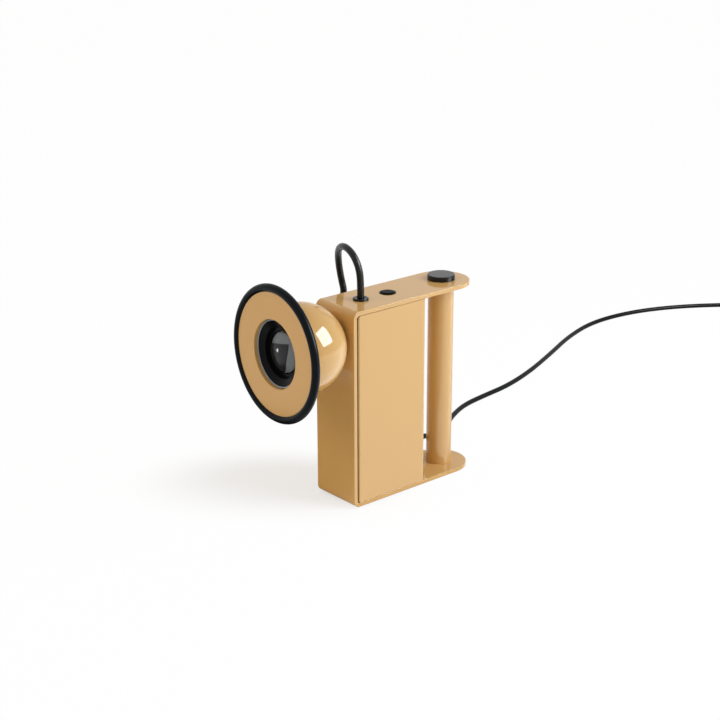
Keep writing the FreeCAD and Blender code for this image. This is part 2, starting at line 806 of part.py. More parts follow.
def build_switch():
    """Barrel with its bezel, nut below the tongue, and the moving cap."""
    spot = (0, S.switch_back, S.plate_height)
    barrel = body("switch_body", spot)
    well = S.button_radius + S.moving_fit
    stem_well = S.button_stem + S.moving_fit
    turn_about(
        barrel,
        "barrel",
        [
            (0, -S.switch_depth),
            (S.switch_radius, -S.switch_depth),
            (S.switch_radius, 0),
            (S.bezel_radius, 0),
            (S.bezel_radius, S.bezel_height, S.bezel_height / 2),
            (well, S.bezel_height),
            (well, -S.button_skirt - S.press_room),
            (stem_well, -S.button_skirt - S.press_room),
            (stem_well, -S.button_stem_depth - S.press_room),
            (0, -S.button_stem_depth - S.press_room),
        ],
    )
    nut = body("switch_nut", spot)
    low = -S.plate_thick - S.switch_nut_height
    flats = hexagon(nut, "flats", S.switch_nut_half, S.switch_radius, low)
    pad(nut, "block", flats, S.switch_nut_height)

    cap = body("push_button", spot)
    turn_about(
        cap,
        "cap",
        [
            (0, -S.button_stem_depth),
            (S.button_stem, -S.button_stem_depth),
            (S.button_stem, -S.button_skirt),
            (S.button_radius, -S.button_skirt),
            (S.button_radius, S.button_proud, S.button_proud / 3),
            (0, S.button_proud),
        ],
    )


def build_dimmer():
    """Knob over the tube, and the dimmer that hangs from the tongue inside the tube."""
    spot = (0, tube_y, S.plate_height)
    knob_top = S.knob_gap + S.knob_height
    web_under = knob_top - S.knob_web
    knob = body("dimmer_knob", spot)
    turn_about(
        knob,
        "disc",
        [
            (S.knob_recess, S.knob_gap),
            (S.knob_radius, S.knob_gap),
            (S.knob_radius, knob_top - S.knob_chamfer),
            (S.knob_radius - S.knob_chamfer, knob_top),
            (0, knob_top),
            (0, web_under + S.shaft_grip),
            (S.shaft_radius, web_under + S.shaft_grip),
            (S.shaft_radius, web_under),
            (S.knob_recess, web_under),
        ],
    )
    under = -S.plate_thick
    deep = under - S.dimmer_depth
    bore = S.shaft_radius + S.shaft_fit
    can = body("dimmer_body", spot)
    turn_about(
        can,
        "can",
        [
            (0, deep),
            (S.dimmer_radius, deep),
            (S.dimmer_radius, under),
            (S.bush_radius, under),
            (S.bush_radius, S.bush_proud),
            (bore, S.bush_proud),
            (bore, deep + S.case_wall * 2),
            (0, deep + S.case_wall * 2),
        ],
    )
    nut = body("dimmer_nut", spot)
    flats = hexagon(nut, "flats", S.dimmer_nut_half, S.bush_radius)
    pad(nut, "block", flats, S.dimmer_nut_height)

    shaft = body("dimmer_shaft", spot)
    foot = deep + S.case_wall * 2 + S.moving_fit * 3
    round_bar = circles(shaft, "round", "XY_Plane", [(0, 0, S.shaft_radius)], foot)
    pad(shaft, "bar", round_bar, web_under + S.shaft_grip - foot)


ball_spot = (0, -ball_out, ball_z)
flange_back = S.flange_front - S.flange_thick
rim_centre = S.head_radius - S.rim_radius
baffle_front = S.flange_front - S.baffle_sink
sill = S.flange_front - S.sill_depth
throat = baffle_front - S.throat_depth
lens_front = baffle_front - S.lens_depth
lens_back = lens_front - S.lens_thick
ledge_back = lens_back - S.ledge_thick
can_front = ledge_back + S.can_overlap
can_back = can_front - S.can_length
can_inner = S.tail_radius + S.can_fit
lamp_front = lens_back - S.lamp_gap
neck_end = lamp_front - S.lamp_length


def build_head_shell():
    """Ball and flange spun in one, with the opening in front and the cable entry's hole at its side."""
    shell = body("head_shell", ball_spot, BEAM)
    edge = rim_centre + S.rim_bite
    sill_back = sill - S.sill_thick
    turn_about(
        shell,
        "spun",
        [
            (0, -S.ball_radius),
            ("arc", dim(0), dim(0), 1),
            (across(S.ball_radius, flange_back), flange_back),
            (edge, flange_back),
            (edge, S.flange_front),
            (S.opening_radius, S.flange_front, S.opening_round),
            (S.opening_radius, sill),
            (S.sill_radius, sill),
            (S.sill_radius, sill_back),
            (across(ball_inner, sill_back), sill_back),
            ("arc", dim(0), dim(0), -1),
            (0, -ball_inner),
        ],
    )
    root_radius = across(S.ball_radius, flange_back).value
    soften(
        shell,
        "Fillet",
        "root",
        S.flange_fillet,
        lambda e: abs(e.BoundBox.XLength / 2 - root_radius) < 0.1
        and abs(e.BoundBox.ZMin - flange_back.value) < 1e-3
        and e.BoundBox.ZLength < 1e-3,
    )
    hole = circles(shell, "entry", "YZ_Plane", [(0, 0, S.gland_stem + S.swivel_fit)])
    pocket(shell, "entry_cut", hole, S.ball_radius * 1.2)


def build_rim():
    """Rubber tube slit over the flange's edge."""
    rim = body("rubber_rim", ball_spot, BEAM)
    half_slot = S.flange_thick / 2
    mouth = rim_centre - across(S.rim_radius, half_slot)
    edge = rim_centre + S.rim_bite
    turn_about(
        rim,
        "section",
        [
            (mouth, rim_middle - half_slot),
            ("arc", rim_centre, rim_middle, 1),
            (mouth, rim_middle + half_slot),
            (edge, rim_middle + half_slot),
            (edge, rim_middle - half_slot),
        ],
    )


def build_baffle():
    """Stepped ring that shades the lamp and holds its glass."""
    baffle = body("baffle", ball_spot, BEAM)
    lip = S.opening_radius - S.baffle_fit
    stem = S.sill_radius - S.baffle_fit
    stem_back = S.flange_front - S.stem_depth
    tail_front = ledge_back + S.can_overlap
    seat = S.lens_radius + S.lens_fit
    turn_about(
        baffle,
        "steps",
        [
            (lip, sill),
            (lip, baffle_front, S.baffle_round),
            (S.mouth_radius, baffle_front),
            (S.throat_radius, throat),
            (S.throat_radius, lens_front),
            (seat, lens_front),
            (seat, lens_back),
            (S.ledge_radius, lens_back),
            (S.ledge_radius, ledge_back),
            (S.tail_radius, ledge_back),
            (S.tail_radius, tail_front),
            (stem, stem_back),
            (stem, sill),
        ],
    )


def build_lamp():
    """Glass, reflector lamp with its pins, socket, and the can that carries them behind the baffle."""
    glass = body("lens_glass", ball_spot, BEAM)
    disc = circles(glass, "disc", "XY_Plane", [(0, 0, S.lens_radius)], lens_back)
    pad(glass, "plate", disc, S.lens_thick)

    lamp = body("reflector_lamp", ball_spot, BEAM)
    inner = S.lamp_radius - S.lamp_wall
    neck_top = neck_end + S.lamp_neck_length
    turn_about(
        lamp,
        "bowl",
        [
            (0, neck_end),
            (S.lamp_neck, neck_end),
            (S.lamp_neck, neck_top),
            ("bend", S.lamp_bulge, 1),
            (S.lamp_radius, lamp_front - S.lamp_rim),
            (S.lamp_radius, lamp_front),
            (inner, lamp_front),
            (inner, lamp_front - S.lamp_rim),
            ("bend", S.lamp_bulge - S.lamp_wall, -1),
            (S.lamp_neck - S.lamp_wall, neck_top + S.lamp_wall),
            (0, neck_top + S.lamp_wall),
        ],
    )
    half_space = S.pin_spacing / 2
    pins = body("lamp_pins", ball_spot, BEAM)
    spots = [(side * half_space, 0, S.pin_radius) for side in (-1, 1)]
    pair = circles(pins, "rounds", "XY_Plane", spots, neck_end - S.pin_length)
    pad(pins, "bars", pair, S.pin_length)

    socket = body("lamp_socket", ball_spot, BEAM)
    floor = can_back + S.can_wall
    rounds = [(0, 0, S.socket_radius)]
    rounds += [(side * half_space, 0, S.pin_radius + S.moving_fit) for side in (-1, 1)]
    pad(socket, "block", circles(socket, "face", "XY_Plane", rounds, floor), neck_end - floor)
    screw_holes = [(side * S.socket_screw_side, 0, S.screw_radius) for side in (-1, 1)]
    holes = circles(socket, "screw_holes", "XY_Plane", screw_holes, floor)
    pocket(socket, "screw_cuts", holes, S.socket_screw_length, backwards=True)

    can = body("lamp_can", ball_spot, BEAM)
    outer = can_inner + S.can_wall
    turn_about(
        can,
        "cup",
        [
            (S.pin_spacing, can_back),
            (outer, can_back),
            (outer, can_front),
            (can_inner, can_front),
            (can_inner, floor),
            (S.pin_spacing, floor),
        ],
    )
    clear = S.screw_radius + S.screw_slack
    can_holes = [(u, v, clear) for u, v, _ in screw_holes]
    pocket(
        can,
        "screw_cuts",
        circles(can, "screw_holes", "XY_Plane", can_holes, can_back),
        S.can_wall * 2,
        symmetric=True,
    )
    screws = body("socket_screws", ball_spot, BEAM)
    shanks = circles(screws, "shanks", "XY_Plane", screw_holes, can_back)
    pad(screws, "threads", shanks, S.socket_screw_length)
    head_rounds = [(u, v, S.pan_head) for u, v, _ in screw_holes]
    heads = circles(screws, "heads", "XY_Plane", head_rounds, can_back)
    pad(screws, "pan_heads", heads, S.screw_radius, backwards=True)


def build_magnet_seat():
    """Seat ring in the front wall, magnet, steel disc and the strap that holds them."""
    ring = body("seat_ring", ball_spot, REARWARD)
    hollow = S.ball_radius + S.seat_gap
    wall_back = ball_out + S.plate_thick
    recess = wall_back - S.magnet_sink
    pocket_radius = S.magnet_radius + S.moving_fit
    turn_about(
        ring,
        "dish",
        [
            (S.seat_inner, across(hollow, S.seat_inner)),
            ("arc", dim(0), dim(0), -1),
            (across(hollow, ball_out), ball_out),
            (S.seat_outer, ball_out),
            (S.seat_outer, wall_back),
            (S.seat_flange, wall_back),
            (S.seat_flange, wall_back + S.seat_flange_thick),
            (pocket_radius, wall_back + S.seat_flange_thick),
            (pocket_radius, recess),
            (S.seat_inner, recess),
        ],
    )
    magnet = body("magnet", ball_spot, REARWARD)
    disc = circles(magnet, "disc", "XY_Plane", [(0, 0, S.magnet_radius)], recess)
    pad(magnet, "block", disc, S.magnet_length)
    yoke_front = recess + S.magnet_length
    strap_front = yoke_front + S.yoke_thick
    yoke = body("magnet_yoke", ball_spot, REARWARD)
    disc = circles(yoke, "disc", "XY_Plane", [(0, 0, S.yoke_radius)], yoke_front)
    pad(yoke, "plate", disc, S.yoke_thick)

    strap = body("magnet_bridge", ball_spot, REARWARD)
    half = S.bridge_width / 2
    flat = S.bridge_half - half
    strip = outline(
        strap,
        "strip",
        "XY_Plane",
        [
            (half, -flat),
            (half, flat),
            ("arc", dim(0), flat, 1),
            (-half, flat),
            (-half, -flat),
            ("arc", dim(0), -flat, 1),
        ],
        strap_front,
    )
    pad(strap, "plate", strip, S.bridge_thick)
    spots = [(0, side * S.bridge_hole) for side in (-1, 1)]
    clear = [(u, v, S.screw_radius + S.screw_slack) for u, v in spots]
    holes = circles(strap, "holes", "XY_Plane", clear, strap_front)
    pocket(strap, "hole_cuts", holes, S.bridge_thick * 3, symmetric=True)

    spacers = body("bridge_spacers", ball_spot, REARWARD)
    rounds = [(u, v, S.spacer_radius) for u, v in spots]
    rounds += [(u, v, S.screw_radius) for u, v in spots]
    tubes = circles(spacers, "tubes", "XY_Plane", rounds, wall_back)
    pad(spacers, "sleeves", tubes, strap_front - wall_back)

    screws = body("bridge_screws", ball_spot, REARWARD)
    tip = wall_back - S.plate_thick / 2
    strap_back = strap_front + S.bridge_thick
    shanks = circles(
        screws, "shanks", "XY_Plane", [(u, v, S.screw_radius) for u, v in spots], tip
    )
    pad(screws, "threads", shanks, strap_back - tip)
    heads = circles(
        screws, "heads", "XY_Plane", [(u, v, S.pan_head) for u, v in spots], strap_back
    )
    pad(screws, "pan_heads", heads, S.screw_radius)


def build_cable_entry():
    """Swivelling entry at the ball's hidden pole, with its nut inside."""
    gland = body("entry_gland", ball_spot, LEFTWARD)
    hollow = S.ball_radius + S.gland_gap
    turn_about(
        gland,
        "sleeve",
        [
            (0, S.gland_inner),
            (S.gland_stem, S.gland_inner),
            (S.gland_stem, across(hollow, S.gland_stem)),
            ("arc", dim(0), dim(0), -1),
            (S.gland_collar, across(hollow, S.gland_collar)),
            (S.gland_collar, S.gland_collar_end),
            (S.gland_sleeve, S.gland_collar_end),
            (S.gland_tip, S.gland_end),
            (0, S.gland_end),
        ],
    )
    nut = body("gland_nut", ball_spot, LEFTWARD)
    corner = S.gland_nut_half / math.cos(math.radians(30))
    outer_face = across(ball_inner, corner) - S.gland_gap
    flats = hexagon(
        nut, "flats", S.gland_nut_half, S.gland_stem, outer_face - S.gland_nut_height
    )
    pad(nut, "block", flats, S.gland_nut_height)


def box(name, where, size):
    """A block whose near left lower corner stands at a point counted as a body's origin is."""
    item = doc.addObject("Part::Box", name)
    for prop, value in zip(("Length", "Width", "Height"), size):
        bind(item, prop, value)
    x, y, z = (dim(v) for v in where)
    place(item, (x, y + front_y, z + S.foot_height))
    return item


def build_driver():
    """Driver on the bottom tongue, and the control board on posts above it."""
    half = S.driver_width / 2
    driver = body("driver_case", (0, S.driver_front, S.plate_thick))
    plan = outline(
        driver,
        "plan",
        "XY_Plane",
        [
            (-half, 0, S.driver_round),
            (half, 0, S.driver_round),
            (half, S.driver_depth, S.driver_round),
            (-half, S.driver_depth, S.driver_round),
        ],
    )
    pad(driver, "block", plan, S.driver_height)
    spots = [(x, y - S.driver_front, S.screw_radius) for x, y in driver_screws]
    holes = circles(driver, "screw_holes", "XY_Plane", spots)
    pocket(driver, "screw_cuts", holes, S.screw_length, backwards=True)

    top = S.plate_thick + S.driver_height
    middle = S.driver_front + S.driver_depth / 2
    posts = body("board_posts", (0, middle, top))
    post_x = S.board_width / 2 - S.post_inset
    post_y = S.board_depth / 2 - S.post_inset
    spots = [(a * post_x, b * post_y, S.post_radius) for a in (-1, 1) for b in (-1, 1)]
    pad(posts, "bars", circles(posts, "rounds", "XY_Plane", spots), S.post_height)

    board_low = top + S.post_height
    corner = (-S.board_width / 2, middle - S.board_depth / 2, board_low)
    box("control_board", corner, (S.board_width, S.board_depth, S.board_thick))

    parts = body("board_parts", (0, middle, board_low + S.board_thick))
    spot = S.capacitor_spot
    rounds = [(-spot, -spot, S.capacitor_radius), (spot, -spot, S.capacitor_small)]
    pad(parts, "cans", circles(parts, "can_rounds", "XY_Plane", rounds), S.capacitor_height)
    block = outline(
        parts,
        "choke_plan",
        "XY_Plane",
        [
            (-S.choke_width / 2, spot - S.choke_depth / 2),
            (S.choke_width / 2, spot - S.choke_depth / 2),
            (S.choke_width / 2, spot + S.choke_depth / 2),
            (-S.choke_width / 2, spot + S.choke_depth / 2),
        ],
    )
    pad(parts, "choke", block, S.choke_height)


def build_cord_relief():
    """Tapered sleeve that leads the mains cord out of the rear wall."""
    relief = body("cord_relief", (-S.relief_side, case_rear, S.relief_up), REARWARD)
    wall = -S.case_wall
    turn_about(
        relief,
        "sleeve",
        [
            (0, -S.relief_inside),
            (S.relief_flange - S.case_wall, -S.relief_inside),
            (S.relief_flange - S.case_wall, wall),
            (S.relief_neck, wall),
            (S.relief_neck, 0),
            (S.relief_flange, 0),
            (S.relief_flange, S.case_wall, S.case_wall / 2),
            (S.relief_base, S.case_wall),
            (S.relief_tip, S.relief_length),
            (0, S.relief_length),
        ],
    )


# Cords: points chosen by hand in the lamp's frame, from exit to exit
RUN_SHARE = 0.45
LOOP_MIDDLE = [
    (1.5, -15.0, 219.0),
    (-6.5, -15.5, 232.3),
    (-22.0, -13.0, 237.1),
    (-37.5, -7.6, 231.4),
    (-47.0, -0.6, 217.5),
    (-50.0, 5.0, 198.0),
    (-46.5, 7.4, 180.0),
    (-52.0, -2.0, 162.0),
    (-63.5, -16.0, 151.5),
    (-76.0, -32.5, 150.5),
    (-84.5, -50.0, 154.0),
    (-84.4, -66.0, 157.5),
    (-78.4, -75.6, 159.7),
]
MAINS_MIDDLE = [
    (-15.6, 76.0, 25.1),
    (-19.5, 87.0, 24.6),
    (-25.0, 103.0, 17.5),
    (-34.0, 119.0, 8.5),
    (-50.0, 142.0, 2.6),
    (-67.5, 163.0, 2.6),
    (-82.5, 187.0, 2.6),
    (-94.5, 215.0, 2.6),
    (-100.0, 250.0, 2.6),
    (-105.0, 291.0, 2.6),
    (-121.0, 343.0, 2.6),
    (-147.0, 405.0, 2.6),
    (-176.0, 469.0, 2.6),
    (-194.0, 533.0, 2.6),
    (-189.0, 600.0, 2.6),
    (-166.0, 660.0, 2.6),
]
# The tail from the coil to the plug: across the cord's heading, along it, and above the floor
TAIL_MIDDLE = [
    (-35.1, 16.0, 8.2),
    (-33.0, 31.0, 5.4),
    (-25.5, 45.0, 2.8),
    (-12.5, 54.5, 2.6),
    (3.0, 58.0, 4.6),
    (15.0, 58.4, 6.6),
]
PLUG_ACROSS = 26.0
PLUG_ALONG = 58.4

heading = math.radians(S.coil_heading.value)
AHEAD = Vector(math.cos(heading), math.sin(heading), 0)
ASIDE = Vector(math.sin(heading), -math.cos(heading), 0)
COIL_PITCH = (S.cord_radius * 2 + S.coil_gap).value
COIL_OUTER = S.coil_middle.value + COIL_PITCH * S.coil_layer_turns.value / 2
COIL_TURNS = S.coil_layer_turns.value * 2 + 0.5
COIL_CENTRE = Vector(S.coil_side.value, S.coil_back.value, S.cord_radius.value)


def arc_between(start, start_way, end):
    """The arc from start to end that leaves start in a direction, as an edge."""
    run = end - start
    angle = start_way.getAngle(run)
    if angle < 1e-9:
        return Part.LineSegment(start, end).toShape()
    side = (run - start_way * run.dot(start_way)).normalize()
    radius = run.Length / 2 / math.sin(angle)
    centre = start + side * radius
    middle = centre + ((start + end) / 2 - centre).normalize() * radius
    return Part.Arc(start, middle, end).toShape()


def round_route(points):
    """Straight runs joined by tangent arcs, as large as their runs allow. Gives edges and radii."""
    spots = [Vector(*p) for p in points]
    edges, radii = [], []
    here = spots[0]
    for before, corner, after in zip(spots, spots[1:], spots[2:]):
        arrive, leave = corner - before, after - corner
        half_turn = arrive.getAngle(leave) / 2
        reach = RUN_SHARE * min(arrive.Length, leave.Length)
        enter = corner - Vector(arrive).normalize() * reach
        exit_ = corner + Vector(leave).normalize() * reach
        edges.append(Part.LineSegment(here, enter).toShape())
        edges.append(arc_between(enter, Vector(arrive).normalize(), exit_))
        radii.append(reach / math.tan(half_turn))
        here = exit_
    edges.append(Part.LineSegment(here, spots[-1]).toShape())
    return edges, radii


def tube(name, edges, radius):
    """A round tube along a path of tangent edges, checked against section times length."""
    path = Part.Wire(edges)
    first = edges[0]
    start = first.valueAt(first.FirstParameter)
    way = first.tangentAt(first.FirstParameter)
    ring = Part.Wire(Part.Circle(start, way, radius).toShape())
    item = doc.addObject("Part::Feature", name)
    item.Shape = path.makePipeShell([ring], True, False)
    want = math.pi * radius**2 * path.Length
    print(f"{name}: {path.Length:.1f} mm long, volume {item.Shape.Volume / want:.4f} of its section")
    return item


def cord(name, points, radius):
    """A free cord along a route, with its radii printed."""
    edges, radii = round_route(points)
    listed = " ".join(f"{r:.0f}" for r in radii)
    print(f"{name}: smallest radius {min(radii) / radius / 2:.1f} diameters, radii {listed}")
    return tube(name, edges, radius)


def coil_spot(turns):
    """Middle of the cord after some turns of the coil: in along the floor, up a layer, and out again."""
    layer = S.coil_layer_turns.value
    inner = COIL_OUTER - COIL_PITCH * layer
    climb = min(max((turns - layer) / 0.5, 0), 1)
    radius = inner + COIL_PITCH * (layer - turns if climb < 1 else turns - layer - 0.5)
    if 0 < climb < 1:
        radius = inner - S.coil_dip.value * math.sin(math.pi * climb)
    lift = COIL_PITCH * climb * climb * (3 - 2 * climb)
    angle = heading + math.pi / 2 - 2 * math.pi * turns
    return COIL_CENTRE + Vector(radius * math.cos(angle), radius * math.sin(angle), lift)


def coil_way(turns):
    """Direction of the cord after some turns."""
    if turns in (0, COIL_TURNS):
        return AHEAD
    step = 1e-4
    return (coil_spot(turns + step) - coil_spot(turns - step)).normalize()


def biarc(start, start_way, end, end_way):
    """Two tangent arcs between two points with given directions."""
    run = end - start
    ways = start_way + end_way
    along = run.dot(ways)
    spare = 2 * (1 - start_way.dot(end_way))
    reach = (math.sqrt(along**2 + spare * run.dot(run)) - along) / spare
    joint = (start + start_way * reach + end - end_way * reach) / 2
    second_way = (end - end_way * reach - joint).normalize()
    return [arc_between(start, start_way, joint), arc_between(joint, second_way, end)]


def build_coil():
    """The put-away length in one unbroken tube of round turns, straight for a diameter at both ends."""
    diameter = S.cord_radius.value * 2
    quarters = round(COIL_TURNS * 4)
    edges = [Part.LineSegment(coil_spot(0) - AHEAD * diameter, coil_spot(0)).toShape()]
    for quarter in range(quarters):
        here, after = quarter / 4, (quarter + 1) / 4
        edges += biarc(coil_spot(here), coil_way(here), coil_spot(after), coil_way(after))
    end = coil_spot(COIL_TURNS)
    edges.append(Part.LineSegment(end, end + AHEAD * diameter).toShape())
    tube("cord_coil", edges, S.cord_radius.value)
    points = []
    for edge in edges:
        points += edge.discretize(Distance=1.0)
    far = round(COIL_OUTER * 2)
    gaps = [
        points[i].distanceToPoint(points[j]) - diameter
        for i in range(len(points))
        for j in range(i + far, len(points))
    ]
    print(f"cord_coil: least gap to itself {min(gaps):.2f} mm")


def beside_coil(across, along, height):
    """A point counted from the coil's middle across and along the cord's heading."""
    spot = COIL_CENTRE + ASIDE * across + AHEAD * along
    return (spot.x, spot.y, height)


def build_cords():
    """The loop to the head, the mains cord along the floor, its coil and its tail."""
    loop_x, loop_y = 0.0, (S.loop_back + front_y).value
    top = (S.plate_height + S.foot_height).value
    low_end = top - (S.plate_thick + S.grommet_depth).value - 2
    ball = Vector(0, (front_y - ball_out).value, (ball_z + S.foot_height).value)
    aside = Rotation(S.head_pan.value, 0, 0).multVec(Vector(-1, 0, 0))
    gland = S.gland_end.value
    start = [(loop_x, loop_y, low_end), (loop_x, loop_y, top + 9)]
    end = [tuple(ball + aside * (gland + 12)), tuple(ball + aside * gland)]
    cord("cable_loop", start + LOOP_MIDDLE + end, S.cable_radius.value)

    exit_ = (
        -S.relief_side.value,
        (case_rear + S.relief_length + front_y).value,
        (S.relief_up + S.foot_height).value,
    )
    diameter = S.cord_radius.value * 2
    join = coil_spot(0) - AHEAD * diameter
    lead = join - AHEAD * S.coil_lead.value
    cord("mains_cord", [exit_] + MAINS_MIDDLE + [tuple(lead), tuple(join)], S.cord_radius.value)
    build_coil()
    leave = coil_spot(COIL_TURNS) + AHEAD * diameter
    tip = beside_coil(PLUG_ACROSS, PLUG_ALONG, S.plug_thick.value / 2)
    tail = [tuple(leave)] + [beside_coil(*p) for p in TAIL_MIDDLE] + [tip]
    cord("cord_tail", tail, S.cord_radius.value)


def build_plug():
    """Flat two-pin plug with its tapered boot, lying on the floor beside the coil."""
    spot = Vector(*beside_coil(PLUG_ACROSS, PLUG_ALONG, S.plug_thick.value / 2))
    turn = Rotation(AHEAD, Vector(0, 0, 1), ASIDE, "ZYX")
    half = S.plug_width / 2
    flat = S.plug_thick / 2
    end = S.plug_boot + S.plug_length
    root_z = S.plug_boot - S.plug_boot_tip
    plug = body("plug_body")
    plan = outline(
        plug,
        "plan",
        "XZ_Plane",
        [
            (-S.plug_boot_radius, root_z),
            (S.plug_boot_radius, root_z),
            (half, S.plug_boot + flat),
            (S.plug_face / 2, end),
            (-S.plug_face / 2, end),
            (-half, S.plug_boot + flat),
        ],
    )
    pad(plug, "block", plan, S.plug_thick, symmetric=True)
    soften(
        plug,
        "Fillet",
        "soft_edges",
        S.plug_edge,
        lambda e: abs(abs(e.BoundBox.YMin) - flat.value) < 1e-3 and e.BoundBox.YLength < 1e-3,
    )
    doc.recompute()
    boot = outline(
        plug,
        "boot_outline",
        "XZ_Plane",
        [
            (0, 0),
            (S.plug_boot_tip, 0),
            (S.plug_boot_radius, S.plug_boot),
            (0, S.plug_boot),
        ],
    )
    item = feature(plug, "Revolution", "boot", boot)
    item.ReferenceAxis = (boot, ["V_Axis"])
    item.Angle = 360
    pins = body("plug_pins")
    spots = [(side * S.plug_pin_spacing / 2, 0, S.plug_pin_radius) for side in (-1, 1)]
    pad(pins, "bars", circles(pins, "rounds", "XY_Plane", spots, end), S.plug_pin_length)
    for item in (plug, pins):
        item.setExpression("Placement", None)
        item.Placement = Placement(spot, turn)


def write_parts():
    """Stop at any failed object, then write each piece to its own file."""
    doc.recompute()
    for item in doc.Objects:
        if {"Invalid", "Error"} & set(item.State):
            raise RuntimeError(f"{item.Name} failed: {item.State}")
    kinds = ("PartDesign::Body", "Part::Box", "Part::Feature")
    pieces = [item for item in doc.Objects if item.TypeId in kinds]
    for item in pieces:
        if item.Shape.isNull() or not item.Shape.isValid() or not item.Shape.Solids:
            raise RuntimeError(f"{item.Label} has no sound shape")
    os.makedirs("parts", exist_ok=True)
    for item in pieces:
        item.Shape.exportStep(f"parts/{item.Label}.step")
    print(f"{len(pieces)} pieces written")


def main():
    """Build every piece and write it."""
    build_frame_plate()
    build_case_shell()
    build_handle()
    build_small_screws()
    build_feet()
    build_grommet()
    build_switch()
    build_dimmer()
    build_head_shell()
    build_rim()
    build_baffle()
    build_lamp()
    build_magnet_seat()
    build_cable_entry()
    build_driver()
    build_cord_relief()
    build_cords()
    build_plug()
    write_parts()


main()
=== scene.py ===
"""Looks of a tabletop searchlight lamp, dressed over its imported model."""
import logging
import math
from dataclasses import dataclass, field
from enum import Enum

import bmesh
import bpy
from mathutils import Euler, Matrix, Vector


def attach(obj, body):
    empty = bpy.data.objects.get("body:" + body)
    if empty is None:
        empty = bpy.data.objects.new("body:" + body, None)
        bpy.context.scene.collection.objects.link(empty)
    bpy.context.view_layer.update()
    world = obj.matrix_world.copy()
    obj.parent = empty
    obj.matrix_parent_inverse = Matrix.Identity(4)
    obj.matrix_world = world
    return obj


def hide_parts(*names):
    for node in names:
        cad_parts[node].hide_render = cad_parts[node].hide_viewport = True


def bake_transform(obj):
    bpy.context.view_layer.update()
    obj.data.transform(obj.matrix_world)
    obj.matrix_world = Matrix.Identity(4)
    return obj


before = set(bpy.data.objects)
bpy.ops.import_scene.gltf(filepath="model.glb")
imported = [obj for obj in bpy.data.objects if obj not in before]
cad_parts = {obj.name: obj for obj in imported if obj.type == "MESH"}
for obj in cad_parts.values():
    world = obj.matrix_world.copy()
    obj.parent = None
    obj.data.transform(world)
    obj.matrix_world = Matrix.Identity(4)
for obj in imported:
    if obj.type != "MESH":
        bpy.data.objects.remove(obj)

log = logging.getLogger("lamp")
Triple = tuple[float, float, float]

MM = 0.001
MERGE_REACH = 0.002
CURVE_SIDES = 5
CURVE_STEPS = 8
CURVE_ORDER = 3
SRGB_KNEE = 0.04045
SRGB_SLOPE = 12.92
SRGB_SHIFT = 0.055
SRGB_POWER = 2.4
SMUDGE_START = 0.35
SMUDGE_FULL = 0.7


class Carrier(Enum):
    """Bodies that new pieces ride on."""

    STAND = "stand"
    ENTRY = "cable_entry"
    HEAD = "head"


def metres(point: Triple) -> Vector:
    """A point given in millimetres, in metres."""
    return Vector(point) * MM


# Node groups and finishes


class Bench:
    """Adds nodes to one node tree and joins them.

    Args:
        tree: The node tree to work on.
    """

    def __init__(self, tree: bpy.types.NodeTree) -> None:
        """Keep the tree."""
        self.tree = tree

    def add(self, kind: str, feeds: dict | None = None, **settings: object) -> bpy.types.Node:
        """Add a node.

        Args:
            kind: The node's type without its ShaderNode prefix, or a full type name.
            feeds: Values or sockets for its inputs, by name or number.
            settings: Properties of the node.

        Returns:
            The new node.
        """
        full = kind if kind.startswith("Node") else f"ShaderNode{kind}"
        node = self.tree.nodes.new(full)
        for name, value in settings.items():
            setattr(node, name, value)
        for name, value in (feeds or {}).items():
            if isinstance(value, bpy.types.NodeSocket):
                self.tree.links.new(value, node.inputs[name])
            else:
                node.inputs[name].default_value = value
        return node

    def calc(self, operation: str, *values: object) -> bpy.types.NodeSocket:
        """A Math node's result for some values or sockets."""
        feeds = dict(enumerate(values))
        return self.add("Math", feeds, operation=operation).outputs[0]


def fresh_bench(owner: bpy.types.Material | bpy.types.World) -> Bench:
    """Empty the node tree of a material or a world, to build it anew.

    Args:
        owner: The material or the world.

    Returns:
        The bench of its tree.
    """
    owner.use_nodes = True
    owner.node_tree.nodes.clear()
    return Bench(owner.node_tree)


class Effect(Enum):
    """Surface effects that several finishes share, each one node group."""

    DRIFT = "colour_drift"
    SMUDGE = "handling_smudges"
    PEEL = "orange_peel"
    GRAIN = "fine_grain"
    BRAID = "braid_strands"


EFFECT_INPUTS: dict[Effect, dict[str, object]] = {
    Effect.DRIFT: {"Colour": (0.5, 0.5, 0.5, 1.0), "Amount": 0.05, "Scale": 20.0},
    Effect.SMUDGE: {"Roughness": 0.3, "Amount": 0.05, "Scale": 40.0},
    Effect.PEEL: {"Scale": 400.0, "Depth": 1.0},
    Effect.GRAIN: {"Scale": 2500.0, "Depth": 1.0},
    Effect.BRAID: {"Along": 100.0, "Around": 8.0},
}
SOCKET_KINDS = {tuple: "NodeSocketColor", float: "NodeSocketFloat"}
EFFECT_OUTPUT: dict[Effect, tuple[str, str]] = {
    Effect.DRIFT: ("Colour", "NodeSocketColor"),
    Effect.SMUDGE: ("Roughness", "NodeSocketFloat"),
    Effect.PEEL: ("Height", "NodeSocketFloat"),
    Effect.GRAIN: ("Height", "NodeSocketFloat"),
    Effect.BRAID: ("Height", "NodeSocketFloat"),
}


